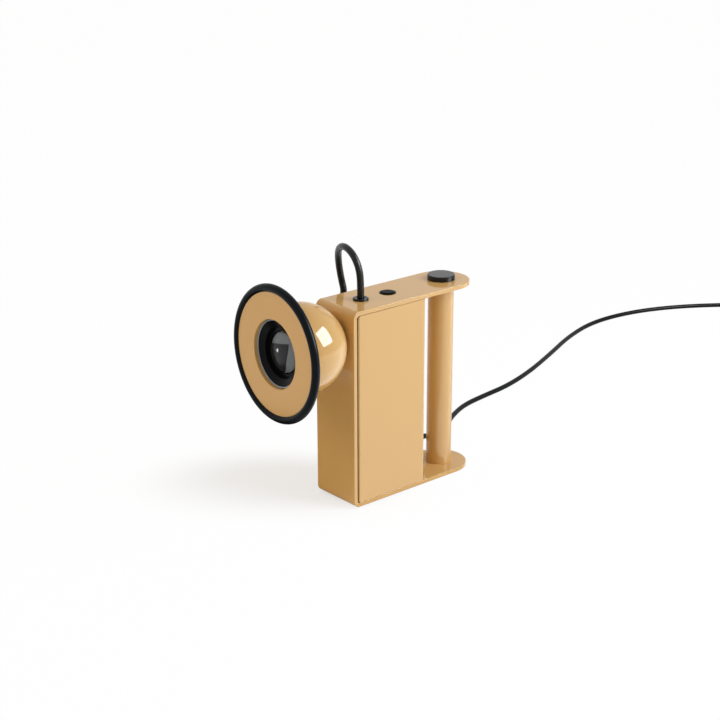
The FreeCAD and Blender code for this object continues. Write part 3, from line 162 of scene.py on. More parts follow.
def effect_group(effect: Effect) -> bpy.types.NodeTree:
    """The node group of an effect, built the first time it is asked for.

    Args:
        effect: Which effect.

    Returns:
        The node group.
    """
    known = bpy.data.node_groups.get(effect.value)
    if known is not None:
        return known
    tree = bpy.data.node_groups.new(effect.value, "ShaderNodeTree")
    for name, value in EFFECT_INPUTS[effect].items():
        kind = SOCKET_KINDS[type(value)]
        socket = tree.interface.new_socket(name, in_out="INPUT", socket_type=kind)
        socket.default_value = value
    out_name, out_kind = EFFECT_OUTPUT[effect]
    tree.interface.new_socket(out_name, in_out="OUTPUT", socket_type=out_kind)
    bench = Bench(tree)
    inside = bench.add("NodeGroupInput").outputs
    outside = bench.add("NodeGroupOutput").inputs
    result = EFFECT_MAKERS[effect](bench, inside)
    tree.links.new(result, outside[0])
    return tree


def _drift(bench: Bench, inside: bpy.types.NodeOutputs) -> bpy.types.NodeSocket:
    """Slow change of shade, as paint has over a panel.

    Args:
        bench: The group's nodes.
        inside: The group's inputs, by name.

    Returns:
        The changed colour.
    """
    place = bench.add("TexCoord").outputs["Object"]
    cloud = bench.add("TexNoise", {"Vector": place, "Scale": inside["Scale"], "Detail": 3.0})
    centred = bench.calc("SUBTRACT", cloud.outputs[0], 0.5)
    shift = bench.calc("MULTIPLY", centred, inside["Amount"])
    value = bench.calc("ADD", shift, 1.0)
    return bench.add("HueSaturation", {"Color": inside["Colour"], "Value": value}).outputs[0]


def _smudge(bench: Bench, inside: bpy.types.NodeOutputs) -> bpy.types.NodeSocket:
    """Patches that handling leaves a little duller.

    Args:
        bench: The group's nodes.
        inside: The group's inputs, by name.

    Returns:
        The changed roughness.
    """
    place = bench.add("TexCoord").outputs["Object"]
    feeds = {"Vector": place, "Scale": inside["Scale"], "Detail": 4.0, "Roughness": 0.6}
    cloud = bench.add("TexNoise", feeds).outputs[0]
    ends = {0: cloud, 1: SMUDGE_START, 2: SMUDGE_FULL, 3: 0.0, 4: 1.0}
    soft = bench.add("MapRange", ends).outputs[0]
    return bench.calc("ADD", inside["Roughness"], bench.calc("MULTIPLY", soft, inside["Amount"]))


def _peel(bench: Bench, inside: bpy.types.NodeOutputs) -> bpy.types.NodeSocket:
    """Gentle waves of sprayed and baked paint.

    Args:
        bench: The group's nodes.
        inside: The group's inputs, by name.

    Returns:
        The height.
    """
    place = bench.add("TexCoord").outputs["Object"]
    cloud = bench.add("TexNoise", {"Vector": place, "Scale": inside["Scale"], "Detail": 1.0})
    return bench.calc("MULTIPLY", cloud.outputs[0], inside["Depth"])


def _grain(bench: Bench, inside: bpy.types.NodeOutputs) -> bpy.types.NodeSocket:
    """Fine eroded grain of a mould.

    Args:
        bench: The group's nodes.
        inside: The group's inputs, by name.

    Returns:
        The height.
    """
    place = bench.add("TexCoord").outputs["Object"]
    cells = bench.add("TexVoronoi", {"Vector": place, "Scale": inside["Scale"]}).outputs[0]
    cloud = bench.add("TexNoise", {"Vector": place, "Scale": inside["Scale"], "Detail": 2.0})
    both = bench.calc("ADD", cells, cloud.outputs[0])
    return bench.calc("MULTIPLY", both, inside["Depth"])


def _braid(bench: Bench, inside: bpy.types.NodeOutputs) -> bpy.types.NodeSocket:
    """Two families of strands that cross over and under, on the cable's own UV map.

    Args:
        bench: The group's nodes.
        inside: The group's inputs, by name.

    Returns:
        The height.
    """
    uv = bench.add("SeparateXYZ", {0: bench.add("TexCoord").outputs["UV"]}).outputs
    along = bench.calc("MULTIPLY", uv[0], inside["Along"])
    around = bench.calc("MULTIPLY", uv[1], inside["Around"])
    strands = []
    for operation in ("ADD", "SUBTRACT"):
        phase = bench.calc(operation, along, around)
        wave = bench.calc("SINE", bench.calc("MULTIPLY", phase, math.pi))
        strands.append((bench.calc("ABSOLUTE", wave), bench.calc("FLOOR", phase)))
    (swell, row), (cross_swell, cross_row) = strands
    over = bench.calc("FLOORED_MODULO", bench.calc("ADD", row, cross_row), 2.0)
    under = bench.calc("SUBTRACT", 1.0, over)
    first = bench.calc("MULTIPLY", swell, over)
    return bench.calc("ADD", first, bench.calc("MULTIPLY", cross_swell, under))


EFFECT_MAKERS = {
    Effect.DRIFT: _drift,
    Effect.SMUDGE: _smudge,
    Effect.PEEL: _peel,
    Effect.GRAIN: _grain,
    Effect.BRAID: _braid,
}


@dataclass(frozen=True)
class Finish:
    """A surface finish: its plain values, and how its nodes change over the surface."""

    name: str
    colour: Triple
    roughness: float
    metallic: float = 0.0
    specular: float = 0.5
    drift: float = 0.04
    drift_scale: float = 18.0
    smudge: float = 0.05
    smudge_scale: float = 35.0
    relief: Effect | None = None
    relief_values: tuple[tuple[str, float], ...] = ()
    relief_distance: float = 0.05
    extra: tuple[tuple[str, float], ...] = ()

    def material(self) -> bpy.types.Material:
        """The finish as a material, made once."""
        known = bpy.data.materials.get(f"{self.name}_finish")
        return known or self._make()

    def _make(self) -> bpy.types.Material:
        """Build the material's nodes.

        Returns:
            The new material.
        """
        made = bpy.data.materials.new(f"{self.name}_finish")
        bench = fresh_bench(made)
        feeds = {"Metallic": self.metallic, "Specular IOR Level": self.specular}
        feeds.update(self.extra)
        shader = bench.add("BsdfPrincipled", feeds)
        bench.add("OutputMaterial", {"Surface": shader.outputs[0]})
        shade = {"Colour": (*self.colour, 1.0), "Amount": self.drift, "Scale": self.drift_scale}
        self._join(bench, Effect.DRIFT, shade, shader, "Base Color")
        dull = {"Roughness": self.roughness, "Amount": self.smudge, "Scale": self.smudge_scale}
        self._join(bench, Effect.SMUDGE, dull, shader, "Roughness")
        if self.relief is not None:
            height = self._place(bench, self.relief, dict(self.relief_values)).outputs[0]
            feeds = {"Height": height, "Distance": self.relief_distance * MM}
            bump = bench.add("Bump", feeds)
            bench.tree.links.new(bump.outputs[0], shader.inputs["Normal"])
        return made

    def _place(
        self, bench: Bench, effect: Effect, values: dict[str, object]
    ) -> bpy.types.Node:
        """Put an effect's group in the material with its own values.

        Args:
            bench: The material's nodes.
            effect: The effect.
            values: Its values, by input.

        Returns:
            The group's node.
        """
        group = bench.add("Group", node_tree=effect_group(effect))
        for name, value in values.items():
            group.inputs[name].default_value = value
        return group

    def _join(
        self,
        bench: Bench,
        effect: Effect,
        values: dict[str, object],
        shader: bpy.types.Node,
        entry: str,
    ) -> None:
        """Feed an effect into one of the shader's sockets."""
        group = self._place(bench, effect, values)
        bench.tree.links.new(group.outputs[0], shader.inputs[entry])


def srgb(red: float, green: float, blue: float) -> Triple:
    """A colour read from a screen, as the shader wants it.

    Args:
        red: Red from 0 to 255.
        green: Green from 0 to 255.
        blue: Blue from 0 to 255.

    Returns:
        The linear colour.
    """
    return tuple(
        part / SRGB_SLOPE
        if part <= SRGB_KNEE
        else ((part + SRGB_SHIFT) / (1 + SRGB_SHIFT)) ** SRGB_POWER
        for part in (level / 255 for level in (red, green, blue))
    )


PEEL = (("Scale", 320.0), ("Depth", 1.0))
MOULD = (("Scale", 1800.0), ("Depth", 1.0))

ENAMEL = Finish(
    "enamel", srgb(203, 160, 97), 0.045, specular=0.32, drift=0.03, smudge=0.02,
    relief=Effect.PEEL, relief_values=PEEL, relief_distance=0.006,
)
RUBBER = Finish(
    "rim_rubber", srgb(11, 15, 20), 0.26, specular=0.07, smudge=0.08, drift=0.15,
    relief=Effect.GRAIN, relief_values=MOULD, relief_distance=0.004,
)
GLOSS_RUBBER = Finish(
    "grommet_rubber", srgb(10, 10, 11), 0.14, specular=0.25, smudge=0.06, drift=0.1
)
BRAID = Finish(
    "cable_braid", srgb(13, 14, 16), 0.18, specular=0.24, smudge=0.06, drift=0.25,
    drift_scale=120.0, relief=Effect.BRAID, relief_values=(("Along", 330.0), ("Around", 12.0)),
    relief_distance=0.045,
)
SHEATH = Finish("cord_sheath", srgb(12, 13, 14), 0.3, specular=0.08, smudge=0.08, drift=0.15)
PLASTIC = Finish(
    "satin_plastic", srgb(12, 13, 14), 0.26, specular=0.02, smudge=0.08, drift=0.1,
    relief=Effect.GRAIN, relief_values=MOULD, relief_distance=0.004,
)
KNOB = Finish(
    "knob_satin", srgb(11, 12, 14), 0.16, specular=0.28, smudge=0.06, drift=0.08,
    relief=Effect.GRAIN, relief_values=MOULD, relief_distance=0.002,
)
PLUG = Finish(
    "plug_moulding", srgb(24, 24, 25), 0.42, specular=0.3, smudge=0.1, drift=0.12,
    relief=Effect.GRAIN, relief_values=(("Scale", 1100.0), ("Depth", 1.0)), relief_distance=0.02,
)
LACQUER = Finish(
    "black_lacquer", srgb(14, 15, 17), 0.16, specular=0.05, smudge=0.05, drift=0.1,
    relief=Effect.PEEL, relief_values=PEEL, relief_distance=0.004,
)
# Light metal for the ring round the baffle's lip: partly painted highlight, its pale colour stands
# in for the light line the lip's edge catches.
LIP_HIGHLIGHT = Finish("lip_highlight_metal", srgb(138, 148, 152), 0.25, metallic=0.5, smudge=0.1, drift=0.1)
STEEL = Finish(
    "plain_steel", srgb(150, 150, 152), 0.36, metallic=1.0, smudge=0.12, drift=0.1,
    relief=Effect.GRAIN, relief_values=MOULD, relief_distance=0.004,
)
ZINC = Finish("bright_zinc", srgb(196, 198, 202), 0.22, metallic=1.0, smudge=0.12, drift=0.12)
BRASS = Finish("plain_brass", srgb(196, 162, 92), 0.24, metallic=1.0, smudge=0.12, drift=0.12)
CERAMIC = Finish("lamp_ceramic", srgb(228, 225, 215), 0.45, smudge=0.1, drift=0.04)
WHITE = Finish(
    "driver_moulding", srgb(222, 222, 220), 0.45, smudge=0.08, drift=0.04,
    relief=Effect.GRAIN, relief_values=MOULD, relief_distance=0.01,
)
BOARD = Finish("board_lacquer", srgb(34, 92, 52), 0.3, smudge=0.1, drift=0.15, drift_scale=200.0)
MIRROR = Finish("reflector_mirror", srgb(120, 124, 126), 0.25, metallic=1.0, smudge=0.08)
# Grey of the lamp's optic: painted reflection, the pale floor as the cover glass would mirror it.
OPTIC_REFLECTION = Finish("optic_painted_reflection", srgb(104, 106, 107), 0.3, specular=0.1, smudge=0.08, drift=0.05)
# Near-black of the shield-shaped holder: painted dark reflection.
DARK_REFLECTION = Finish("painted_dark_reflection_matt", srgb(24, 24, 24), 0.4, specular=0.05, smudge=0.1, drift=0.2)
# Bright silver chip: painted glint, a bright point standing in for a light's reflection in the
# lens.
GLINT_CHIP = Finish("painted_glint_silver", srgb(240, 240, 240), 0.12, metallic=1.0, smudge=0.05)
TIE = Finish(
    "tie_webbing", srgb(22, 22, 24), 0.6, specular=0.3, smudge=0.1, drift=0.3, drift_scale=400.0,
    relief=Effect.GRAIN, relief_values=(("Scale", 2600.0), ("Depth", 1.0)), relief_distance=0.05,
)
# Near-black strip for the gap between plate and case: painted shade, standing in for the shadow
# deep in the gap.
GAP_SHADE = Finish("painted_gap_shade", srgb(12, 8, 5), 0.9, specular=0.1, drift=0.2, drift_scale=300.0)
GLASS = Finish(
    "clear_glass", (0.96, 0.98, 0.98), 0.0, drift=0.0, smudge=0.01,
    extra=(("Transmission Weight", 1.0), ("IOR", 1.12)),
)


def dress(finish: Finish, *nodes: str) -> None:
    """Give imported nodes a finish.

    Args:
        finish: The finish.
        nodes: Names of the nodes.
    """
    for name in nodes:
        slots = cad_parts[name].data.materials
        slots.clear()
        slots.append(finish.material())
        log.info("%s wears %s", name, finish.name)


def show(piece: bpy.types.Object, finish: Finish | None = None) -> None:
    """Put a new piece in the scene in its finish.

    Args:
        piece: The new object.
        finish: Its finish, where it has just one.
    """
    bpy.context.scene.collection.objects.link(piece)
    if finish is not None:
        piece.data.materials.append(finish.material())


def settle(piece: bpy.types.Object, carrier: Carrier, finish: Finish | None = None) -> None:
    """Put a new piece in the scene, on its body and in its finish.

    Args:
        piece: The new object.
        carrier: The body that it rides on.
        finish: Its finish, where it has just one.
    """
    show(piece, finish)
    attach(piece, carrier.value)
    log.info("%s rides on %s", piece.name, carrier.value)


# Camera, floor and light


@dataclass
class Studio:
    """Pale room with a soft window behind and a low warm fill in front.

    The gleam and the sheen are lights that only gloss shows: the window's own glare, and the
    bright floor at the right. The shade is the darker floor that gloss shows at the front left.
    """

    camera_spot: Triple = (1038.25, -894.47, 621.97)
    camera_azimuth: float = 49.701
    camera_elevation: float = 19.76
    camera_roll: float = -0.177
    focal_pixels: float = 1570.8
    frame_pixels: float = 720.0
    sensor: float = 36.0
    floor_half: float = 12.0
    aim: Triple = (0.0, 0.0, 120.0)
    window_way: Triple = (0.73, 0.52, 0.54)
    window_far: float = 1.4
    window_size: tuple[float, float] = (0.86, 0.9)
    window_power: float = 13.8
    window_tint: Triple = (0.93, 1.035, 1.22)
    gleam_power: float = 42.0
    gleam_back: float = 0.04
    fill_way: Triple = (-0.25, -0.82, 0.52)
    fill_far: float = 1.3
    fill_size: tuple[float, float] = (0.9, 0.9)
    fill_power: float = 3.6
    fill_tint: Triple = (1.0, 0.84, 0.7)
    sheen_spot: Triple = (630.0, 560.0, 3.0)
    sheen_size: tuple[float, float] = (1.2, 1.2)
    sheen_power: float = 8.0
    ambient: float = 0.56
    ambient_tint: Triple = (1.0, 0.93, 0.8)
    paper: Triple = (0.94, 0.965, 1.0)
    shadow_share: float = 0.6
    far_share: float = 0.97
    shadow_spot: Triple = (-62.0, -58.0, 0.0)
    shadow_turn: float = 45.0
    shadow_reach: Triple = (135.0, 85.0, 1000.0)
    shadow_ends: tuple[float, float] = (0.35, 1.2)
    shade_spot: Triple = (-127.0, -147.0, 0.0)
    shade_turn: float = 40.0
    shade_reach: Triple = (190.0, 90.0, 1000.0)
    shade_ends: tuple[float, float] = (0.6, 1.15)

    def build(self) -> None:
        """Make the camera, the floor, the lights and the surroundings."""
        self._camera()
        self._floor()
        aim = metres(self.aim)
        way = Vector(self.window_way).normalized()
        spot = aim + way * self.window_far
        window = self._light("window", spot, way, self.window_size, self.window_power)
        window.data.color = self.window_tint
        behind = spot + way * self.gleam_back
        gleam = self._light("gleam", behind, way, self.window_size, self.gleam_power)
        low, down = metres(self.sheen_spot), Vector((0.0, 0.0, -1.0))
        sheen = self._light("sheen", low, down, self.sheen_size, self.sheen_power)
        for light in (gleam, sheen):
            light.visible_diffuse = False
        way = Vector(self.fill_way).normalized()
        spot = aim + way * self.fill_far
        fill = self._light("fill", spot, way, self.fill_size, self.fill_power)
        fill.data.color = self.fill_tint
        fill.visible_glossy = False
        self._surroundings()

    def _camera(self) -> None:
        """The camera at the photograph's place."""
        lens = bpy.data.cameras.new("camera")
        lens.sensor_width = self.sensor
        lens.lens = self.focal_pixels / self.frame_pixels * self.sensor
        camera = bpy.data.objects.new("camera", lens)
        bpy.context.scene.collection.objects.link(camera)
        tilt = Euler(
            (math.radians(90 - self.camera_elevation), 0.0, math.radians(self.camera_azimuth))
        ).to_matrix()
        turn = tilt @ Matrix.Rotation(math.radians(self.camera_roll), 3, "Z")
        camera.matrix_world = Matrix.Translation(metres(self.camera_spot)) @ turn.to_4x4()
        bpy.context.scene.camera = camera

    def _floor(self) -> None:
        """A pale floor that keeps the lamp's shadow, is white round it, and has the shade."""
        bm = bmesh.new()
        bmesh.ops.create_grid(bm, x_segments=1, y_segments=1, size=self.floor_half)
        mesh = bpy.data.meshes.new("floor")
        bm.to_mesh(mesh)
        bm.free()
        floor = bpy.data.objects.new("floor", mesh)
        bpy.context.scene.collection.objects.link(floor)
        made = bpy.data.materials.new("floor_paper")
        bench = fresh_bench(made)
        paper = bench.add("BsdfDiffuse", {"Color": (*self.paper, 1.0)})
        white = bench.add("Emission", {"Strength": 1.0})
        white_share = self._oval(
            bench, self.shadow_spot, self.shadow_turn, self.shadow_reach,
            (*self.shadow_ends, self.shadow_share, self.far_share),
        )
        share = bench.calc("MULTIPLY", self._seen(bench), white_share)
        mix = bench.add("MixShader", {0: share, 1: paper.outputs[0], 2: white.outputs[0]})
        shade = self._oval(
            bench, self.shade_spot, self.shade_turn, self.shade_reach,
            (*self.shade_ends, 1.0, 0.0),
        )
        gloss = bench.add("LightPath").outputs["Is Glossy Ray"]
        dark = bench.add("BsdfDiffuse", {"Color": (0.0, 0.0, 0.0, 1.0)})
        feeds = {0: bench.calc("MULTIPLY", gloss, shade), 1: mix.outputs[0], 2: dark.outputs[0]}
        bench.add("OutputMaterial", {"Surface": bench.add("MixShader", feeds).outputs[0]})
        mesh.materials.append(made)

    def _oval(
        self, bench: Bench, spot: Triple, turn: float, reach: Triple,
        ends: tuple[float, float, float, float],
    ) -> bpy.types.NodeSocket:
        """A value that changes softly from inside an oval on the floor to outside it.

        Args:
            bench: The floor material's nodes.
            spot: The oval's middle, in millimetres.
            turn: Its turn about the upright, in degrees.
            reach: Its half sides, in millimetres.
            ends: Shares of its reach where the change starts and ends, and the two values.

        Returns:
            The value.
        """
        feeds = {
            "Vector": bench.add("TexCoord").outputs["Object"],
            "Location": metres(spot),
            "Rotation": (0.0, 0.0, math.radians(turn)),
            "Scale": metres(reach),
        }
        oval = bench.add("Mapping", feeds, vector_type="TEXTURE").outputs[0]
        away = bench.add("VectorMath", {0: oval}, operation="LENGTH").outputs["Value"]
        feeds = dict(enumerate((away, *ends)))
        return bench.add("MapRange", feeds, interpolation_type="SMOOTHSTEP").outputs[0]

    def _seen(self, bench: Bench) -> bpy.types.NodeSocket:
        """1 for what the camera sees straight, in gloss or through glass.

        Args:
            bench: The nodes of the floor's material or of the world.

        Returns:
            The value, and 0 for all other rays.
        """
        rays = bench.add("LightPath").outputs
        gloss = bench.calc("MAXIMUM", rays["Is Glossy Ray"], rays["Is Transmission Ray"])
        return bench.calc("MAXIMUM", rays["Is Camera Ray"], gloss)

    def _light(
        self, name: str, spot: Vector, way: Vector, size: tuple[float, float], power: float
    ) -> bpy.types.Object:
        """A soft rectangular light that the camera doesn't see.

        Args:
            name: Name of the light.
            spot: Its middle, in metres.
            way: From what it lights back to it.
            size: Its sides in metres.
            power: Its power in watts.

        Returns:
            The light's object.
        """
        light = bpy.data.lights.new(name, "AREA")
        light.shape = "RECTANGLE"
        light.size, light.size_y = size
        light.energy = power
        lamp = bpy.data.objects.new(name, light)
        bpy.context.scene.collection.objects.link(lamp)
        turn = way.to_track_quat("Z", "Y").to_matrix().to_4x4()
        lamp.matrix_world = Matrix.Translation(spot) @ turn
        lamp.visible_camera = False
        return lamp

    def _surroundings(self) -> None:
        """White to the eye, and a soft even light on everything."""
        world = bpy.data.worlds.new("surroundings")
        bpy.context.scene.world = world
        bench = fresh_bench(world)
        seen = self._seen(bench)
        feeds = {"Color": (*self.ambient_tint, 1.0), "Strength": self.ambient}
        room = bench.add("Background", feeds)
        white = bench.add("Background", {"Color": (1.0, 1.0, 1.0, 1.0), "Strength": 1.0})
        sky = bench.add("MixShader", {0: seen, 1: room.outputs[0], 2: white.outputs[0]})
        bench.add("OutputWorld", {"Surface": sky.outputs[0]})


# Meshes


def finish_mesh(
    bm: bmesh.types.BMesh, name: str, place: Matrix, smooth: bool = True
) -> bpy.types.Object:
    """Close a piece's mesh, turn its faces outwards and put it in its place.

    Args:
        bm: The mesh in millimetres, in the piece's own frame.
        name: Name of the object.
        place: From the piece's own frame, in metres, to the lamp's.
        smooth: Whether its faces are shaded smooth.

    Returns:
        The object, at the origin with its place in its mesh.
    """
    bmesh.ops.remove_doubles(bm, verts=bm.verts, dist=MERGE_REACH)
    bmesh.ops.recalc_face_normals(bm, faces=bm.faces)
    bmesh.ops.transform(bm, matrix=place @ Matrix.Scale(MM, 4), verts=bm.verts)
    for face in bm.faces:
        face.smooth = smooth
    mesh = bpy.data.meshes.new(name)
    bm.to_mesh(mesh)
    bm.free()
    return bpy.data.objects.new(name, mesh)


def outline(
    bm: bmesh.types.BMesh, points: list[Triple], closed: bool
) -> list[bmesh.types.BMEdge]:
    """Join points by edges, to spin or to fill.

    Args:
        bm: The mesh to add them to.
        points: The points in their order.
        closed: Whether the last point joins the first.

    Returns:
        The edges.
    """
    corners = [bm.verts.new(point) for point in points]
    pairs = zip(corners, corners[1:] + corners[:1] if closed else corners[1:])
    return [bm.edges.new(pair) for pair in pairs]


def turned(points: list[tuple[float, float]], steps: int, closed: bool) -> bmesh.types.BMesh:
    """A profile spun round the local Z axis.

    Args:
        points: Radius and height along the profile, in millimetres.
        steps: Number of faces round it.
        closed: Whether the profile is a closed section.

    Returns:
        The mesh.
    """
    bm = bmesh.new()
    edges = outline(bm, [(radius, 0.0, height) for radius, height in points], closed)
    parts = edges + list({v for edge in edges for v in edge.verts})
    upright = Vector((0.0, 0.0, 1.0))
    bmesh.ops.spin(
        bm, geom=parts, cent=Vector(), axis=upright, angle=math.tau, steps=steps, use_merge=True
    )
    return bm


# Cords


def spline_curve(name: str, points: list[Triple], radius: float) -> bpy.types.Object:
    """A round cord on one smooth spline through its route.

    Args:
        name: Name of the object.
        points: The route, in millimetres.
        radius: The cord's radius in millimetres, or 0 for a bare line.

    Returns:
        The curve object.
    """
    curve = bpy.data.curves.new(name, "CURVE")
    curve.dimensions = "3D"
    curve.bevel_depth = radius * MM
    curve.bevel_resolution = CURVE_SIDES
    curve.use_fill_caps = radius > 0
    curve.resolution_u = CURVE_STEPS
    spline = curve.splines.new("NURBS")
    spline.points.add(len(points) - 1)
    for knot, point in zip(spline.points, points):
        knot.co = (*metres(point), 1.0)
    spline.order_u = CURVE_ORDER
    spline.use_endpoint_u = True
    return bpy.data.objects.new(name, curve)


def line_points(route: bpy.types.Object) -> list[Vector]:
    """Read points along a bare spline.

    Args:
        route: The curve object, with no thickness.

    Returns:
        The points in metres.
    """
    mesh = bpy.data.meshes.new_from_object(route)
    points = [v.co.copy() for v in mesh.vertices]
    bpy.data.meshes.remove(mesh)
    return points


def run_length(points: list[Vector]) -> float:
    """Length of a run of points."""
    return sum((b - a).length for a, b in zip(points, points[1:]))


@dataclass
class CableLoop:
    """Braided cable that arches from the grommet round to the head's side."""

    radius: float = 3.25
    route: list[Triple] = field(
        default_factory=lambda: [
            (0.0, -12.9, 182.0),
            (0.0, -12.9, 200.0),
            (1.5, -15.0, 219.0),
            (-6.5, -15.5, 232.3),
            (-22.0, -13.0, 237.1),
            (-37.5, -7.6, 231.4),
            (-47.0, -0.6, 217.5),
            (-50.0, 5.0, 198.0),
            (-46.5, 7.4, 180.0),
            (-52.0, -2.0, 162.0),
            (-63.5, -16.0, 151.5),
            (-76.0, -32.5, 150.5),
            (-84.5, -50.0, 154.0),
            (-84.4, -66.0, 157.5),
            (-78.4, -75.6, 159.7),
            (-67.94, -81.15, 160.2),
            (-55.95, -81.65, 160.2),
        ]
    )
    bend_from: Triple = (-38.0, -2.0, 201.0)
    bend_to: Triple = (-70.0, -82.0, 160.0)

    def build(self) -> None:
        """Make the loop as one tube."""
        bare = spline_curve("cable_line", self.route, 0.0)
        path = line_points(bare)
        bpy.data.objects.remove(bare)
        round_curve = spline_curve("cable_round", self.route, self.radius)
        mesh = bpy.data.meshes.new_from_object(round_curve)
        bpy.data.objects.remove(round_curve)
        mesh.name = "loop_cable"
        for face in mesh.polygons:
            face.use_smooth = True
        piece = bpy.data.objects.new("loop_cable", mesh)
        show(piece, BRAID)
        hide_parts("cable_loop")
        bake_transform(piece)


@dataclass
class MainsLead:
    """Mains cord along the floor, the put-away coil at its end and the plug beside it."""

    radius: float = 2.6
    gap: float = 0.6
    middle: float = 28.6
    layer_turns: float = 2.25
    climb_turns: float = 0.5
    dip: float = 1.0
    centre: tuple[float, float] = (-72.0, 722.0)
    heading: float = 45.0
    lead: float = 42.0
    points_per_turn: int = 16
    plug_at: tuple[float, float] = (26.0, 58.4)
    plug_axis: float = 6.85
    tie_wide: float = 9.0
    tie_thick: float = 0.7
    tie_at: float = 200.0
    tie_round: float = 2.6
    tie_lift: float = 0.1
    tie_segments: int = 5
    floor_run: list[Triple] = field(
        default_factory=lambda: [
            (-15.5, 67.7, 25.0),
            (-15.6, 76.0, 25.1),
            (-19.5, 87.0, 24.6),
            (-25.0, 103.0, 17.5),
            (-34.0, 119.0, 10.0),
            (-50.0, 142.0, 3.2),
            (-67.5, 163.0, 2.6),
            (-82.5, 187.0, 2.6),
            (-94.5, 215.0, 2.6),
            (-100.0, 250.0, 2.6),
            (-105.0, 291.0, 2.6),
            (-121.0, 343.0, 2.6),
            (-147.0, 405.0, 2.6),
            (-176.0, 469.0, 2.6),
            (-194.0, 533.0, 2.6),
            (-189.0, 600.0, 2.6),
            (-166.0, 660.0, 2.6),
        ]
    )
    tail: list[Triple] = field(
        default_factory=lambda: [
            (-35.1, 16.0, 8.2),
            (-33.0, 31.0, 5.4),
            (-25.5, 45.0, 2.8),
            (-12.5, 54.5, 2.6),
            (3.0, 58.0, 4.6),
            (15.0, 58.4, 6.6),
        ]
    )

    @property
    def pitch(self) -> float:
        """From one turn to the next."""
        return self.radius * 2 + self.gap

    @property
    def outer(self) -> float:
        """Radius at the middle of the outermost turn."""
        return self.middle + self.pitch * self.layer_turns / 2

    def _beside(self, across: float, along: float, height: float) -> Triple:
        """A point counted from the coil's middle.

        Args:
            across: Distance across the cord's heading, in millimetres.
            along: Distance along it.
            height: Height over the floor.

        Returns:
            The point.
        """
        angle = math.radians(self.heading)
        x = self.centre[0] + across * math.sin(angle) + along * math.cos(angle)
        y = self.centre[1] - across * math.cos(angle) + along * math.sin(angle)
        return (x, y, height)

    def _turn_spot(self, turns: float) -> Triple:
        """A control point of the coil, which winds inwards, climbs and winds outwards again.

        Args:
            turns: Turns from the coil's start.

        Returns:
            The point.
        """
        layer = self.layer_turns
        inner = self.outer - self.pitch * layer
        climb = min(max((turns - layer) / self.climb_turns, 0.0), 1.0)
        wound = layer - turns if climb < 1 else turns - layer - self.climb_turns
        radius = inner + self.pitch * wound
        if 0 < climb < 1:
            radius = inner - self.dip * math.sin(math.pi * climb)
        radius /= 0.5 + 0.5 * math.cos(math.pi / self.points_per_turn) ** 2
        angle = math.pi / 2 + math.tau * turns
        height = self.radius + self.pitch * climb * climb * (3 - 2 * climb)
        return self._beside(-radius * math.sin(angle), -radius * math.cos(angle), height)

    def route(self) -> list[Triple]:
        """The whole cord's points, from the lamp to the plug.

        Returns:
            The points in millimetres.
        """
        diameter = self.radius * 2
        points = list(self.floor_run)
        points.append(self._beside(-self.outer, -diameter - self.lead, self.radius))
        points.append(self._beside(-self.outer, -diameter, self.radius))
        total = self.layer_turns * 2 + self.climb_turns
        count = round(total * self.points_per_turn)
        points += [self._turn_spot((step + 0.5) * total / count) for step in range(count)]
        top = self.radius + self.pitch
        points.append(self._beside(-self.outer, diameter, top))
        points += [self._beside(*spot) for spot in self.tail]
        points.append(self._beside(*self.plug_at, self.plug_axis))
        return points

    def build(self) -> None:
        """Make the cord in one piece, and the tie that holds its coil."""
        route = self.route()
        bare = spline_curve("mains_line", route, 0.0)
        length = run_length(line_points(bare))
        bpy.data.objects.remove(bare)
        cord = spline_curve("mains_lead", route, self.radius)
        settle(cord, Carrier.STAND, SHEATH)
        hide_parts("mains_cord", "cord_coil", "cord_tail")
        dress(PLUG, "plug_body")
        dress(BRASS, "plug_pins")
        self._tie()

    def _tie(self) -> None:
        """Webbing tie wrapped round the coil's bundle."""
        inner = self.outer - self.pitch * self.layer_turns
        half = (self.outer - inner) / 2 + self.radius + self.tie_thick
        middle = (self.outer + inner) / 2
        top = self.radius * 2 + self.pitch + self.tie_thick
        bm = bmesh.new()
        low = self.tie_lift
        corners = [(-half, low), (half, low), (half, top), (-half, top)]
        outline(bm, [(x, 0.0, z) for x, z in corners], closed=True)
        bmesh.ops.bevel(
            bm, geom=bm.verts, affect="VERTICES", offset=self.tie_round,
            segments=self.tie_segments, profile=0.5, material=-1,
        )
        made = bmesh.ops.extrude_edge_only(bm, edges=list(bm.edges))["geom"]
        far = [v for v in made if isinstance(v, bmesh.types.BMVert)]
        bmesh.ops.translate(bm, verts=far, vec=(0.0, self.tie_wide, 0.0))
        bmesh.ops.translate(bm, verts=bm.verts, vec=(middle, -self.tie_wide / 2, 0.0))
        bmesh.ops.recalc_face_normals(bm, faces=bm.faces)
        bmesh.ops.solidify(bm, geom=bm.faces, thickness=self.tie_thick)
        spot = metres((*self.centre, 0.0))
        turn = Matrix.Rotation(math.radians(self.tie_at), 4, "Z")
        piece = finish_mesh(bm, "coil_tie", Matrix.Translation(spot) @ turn)
        settle(piece, Carrier.STAND, TIE)


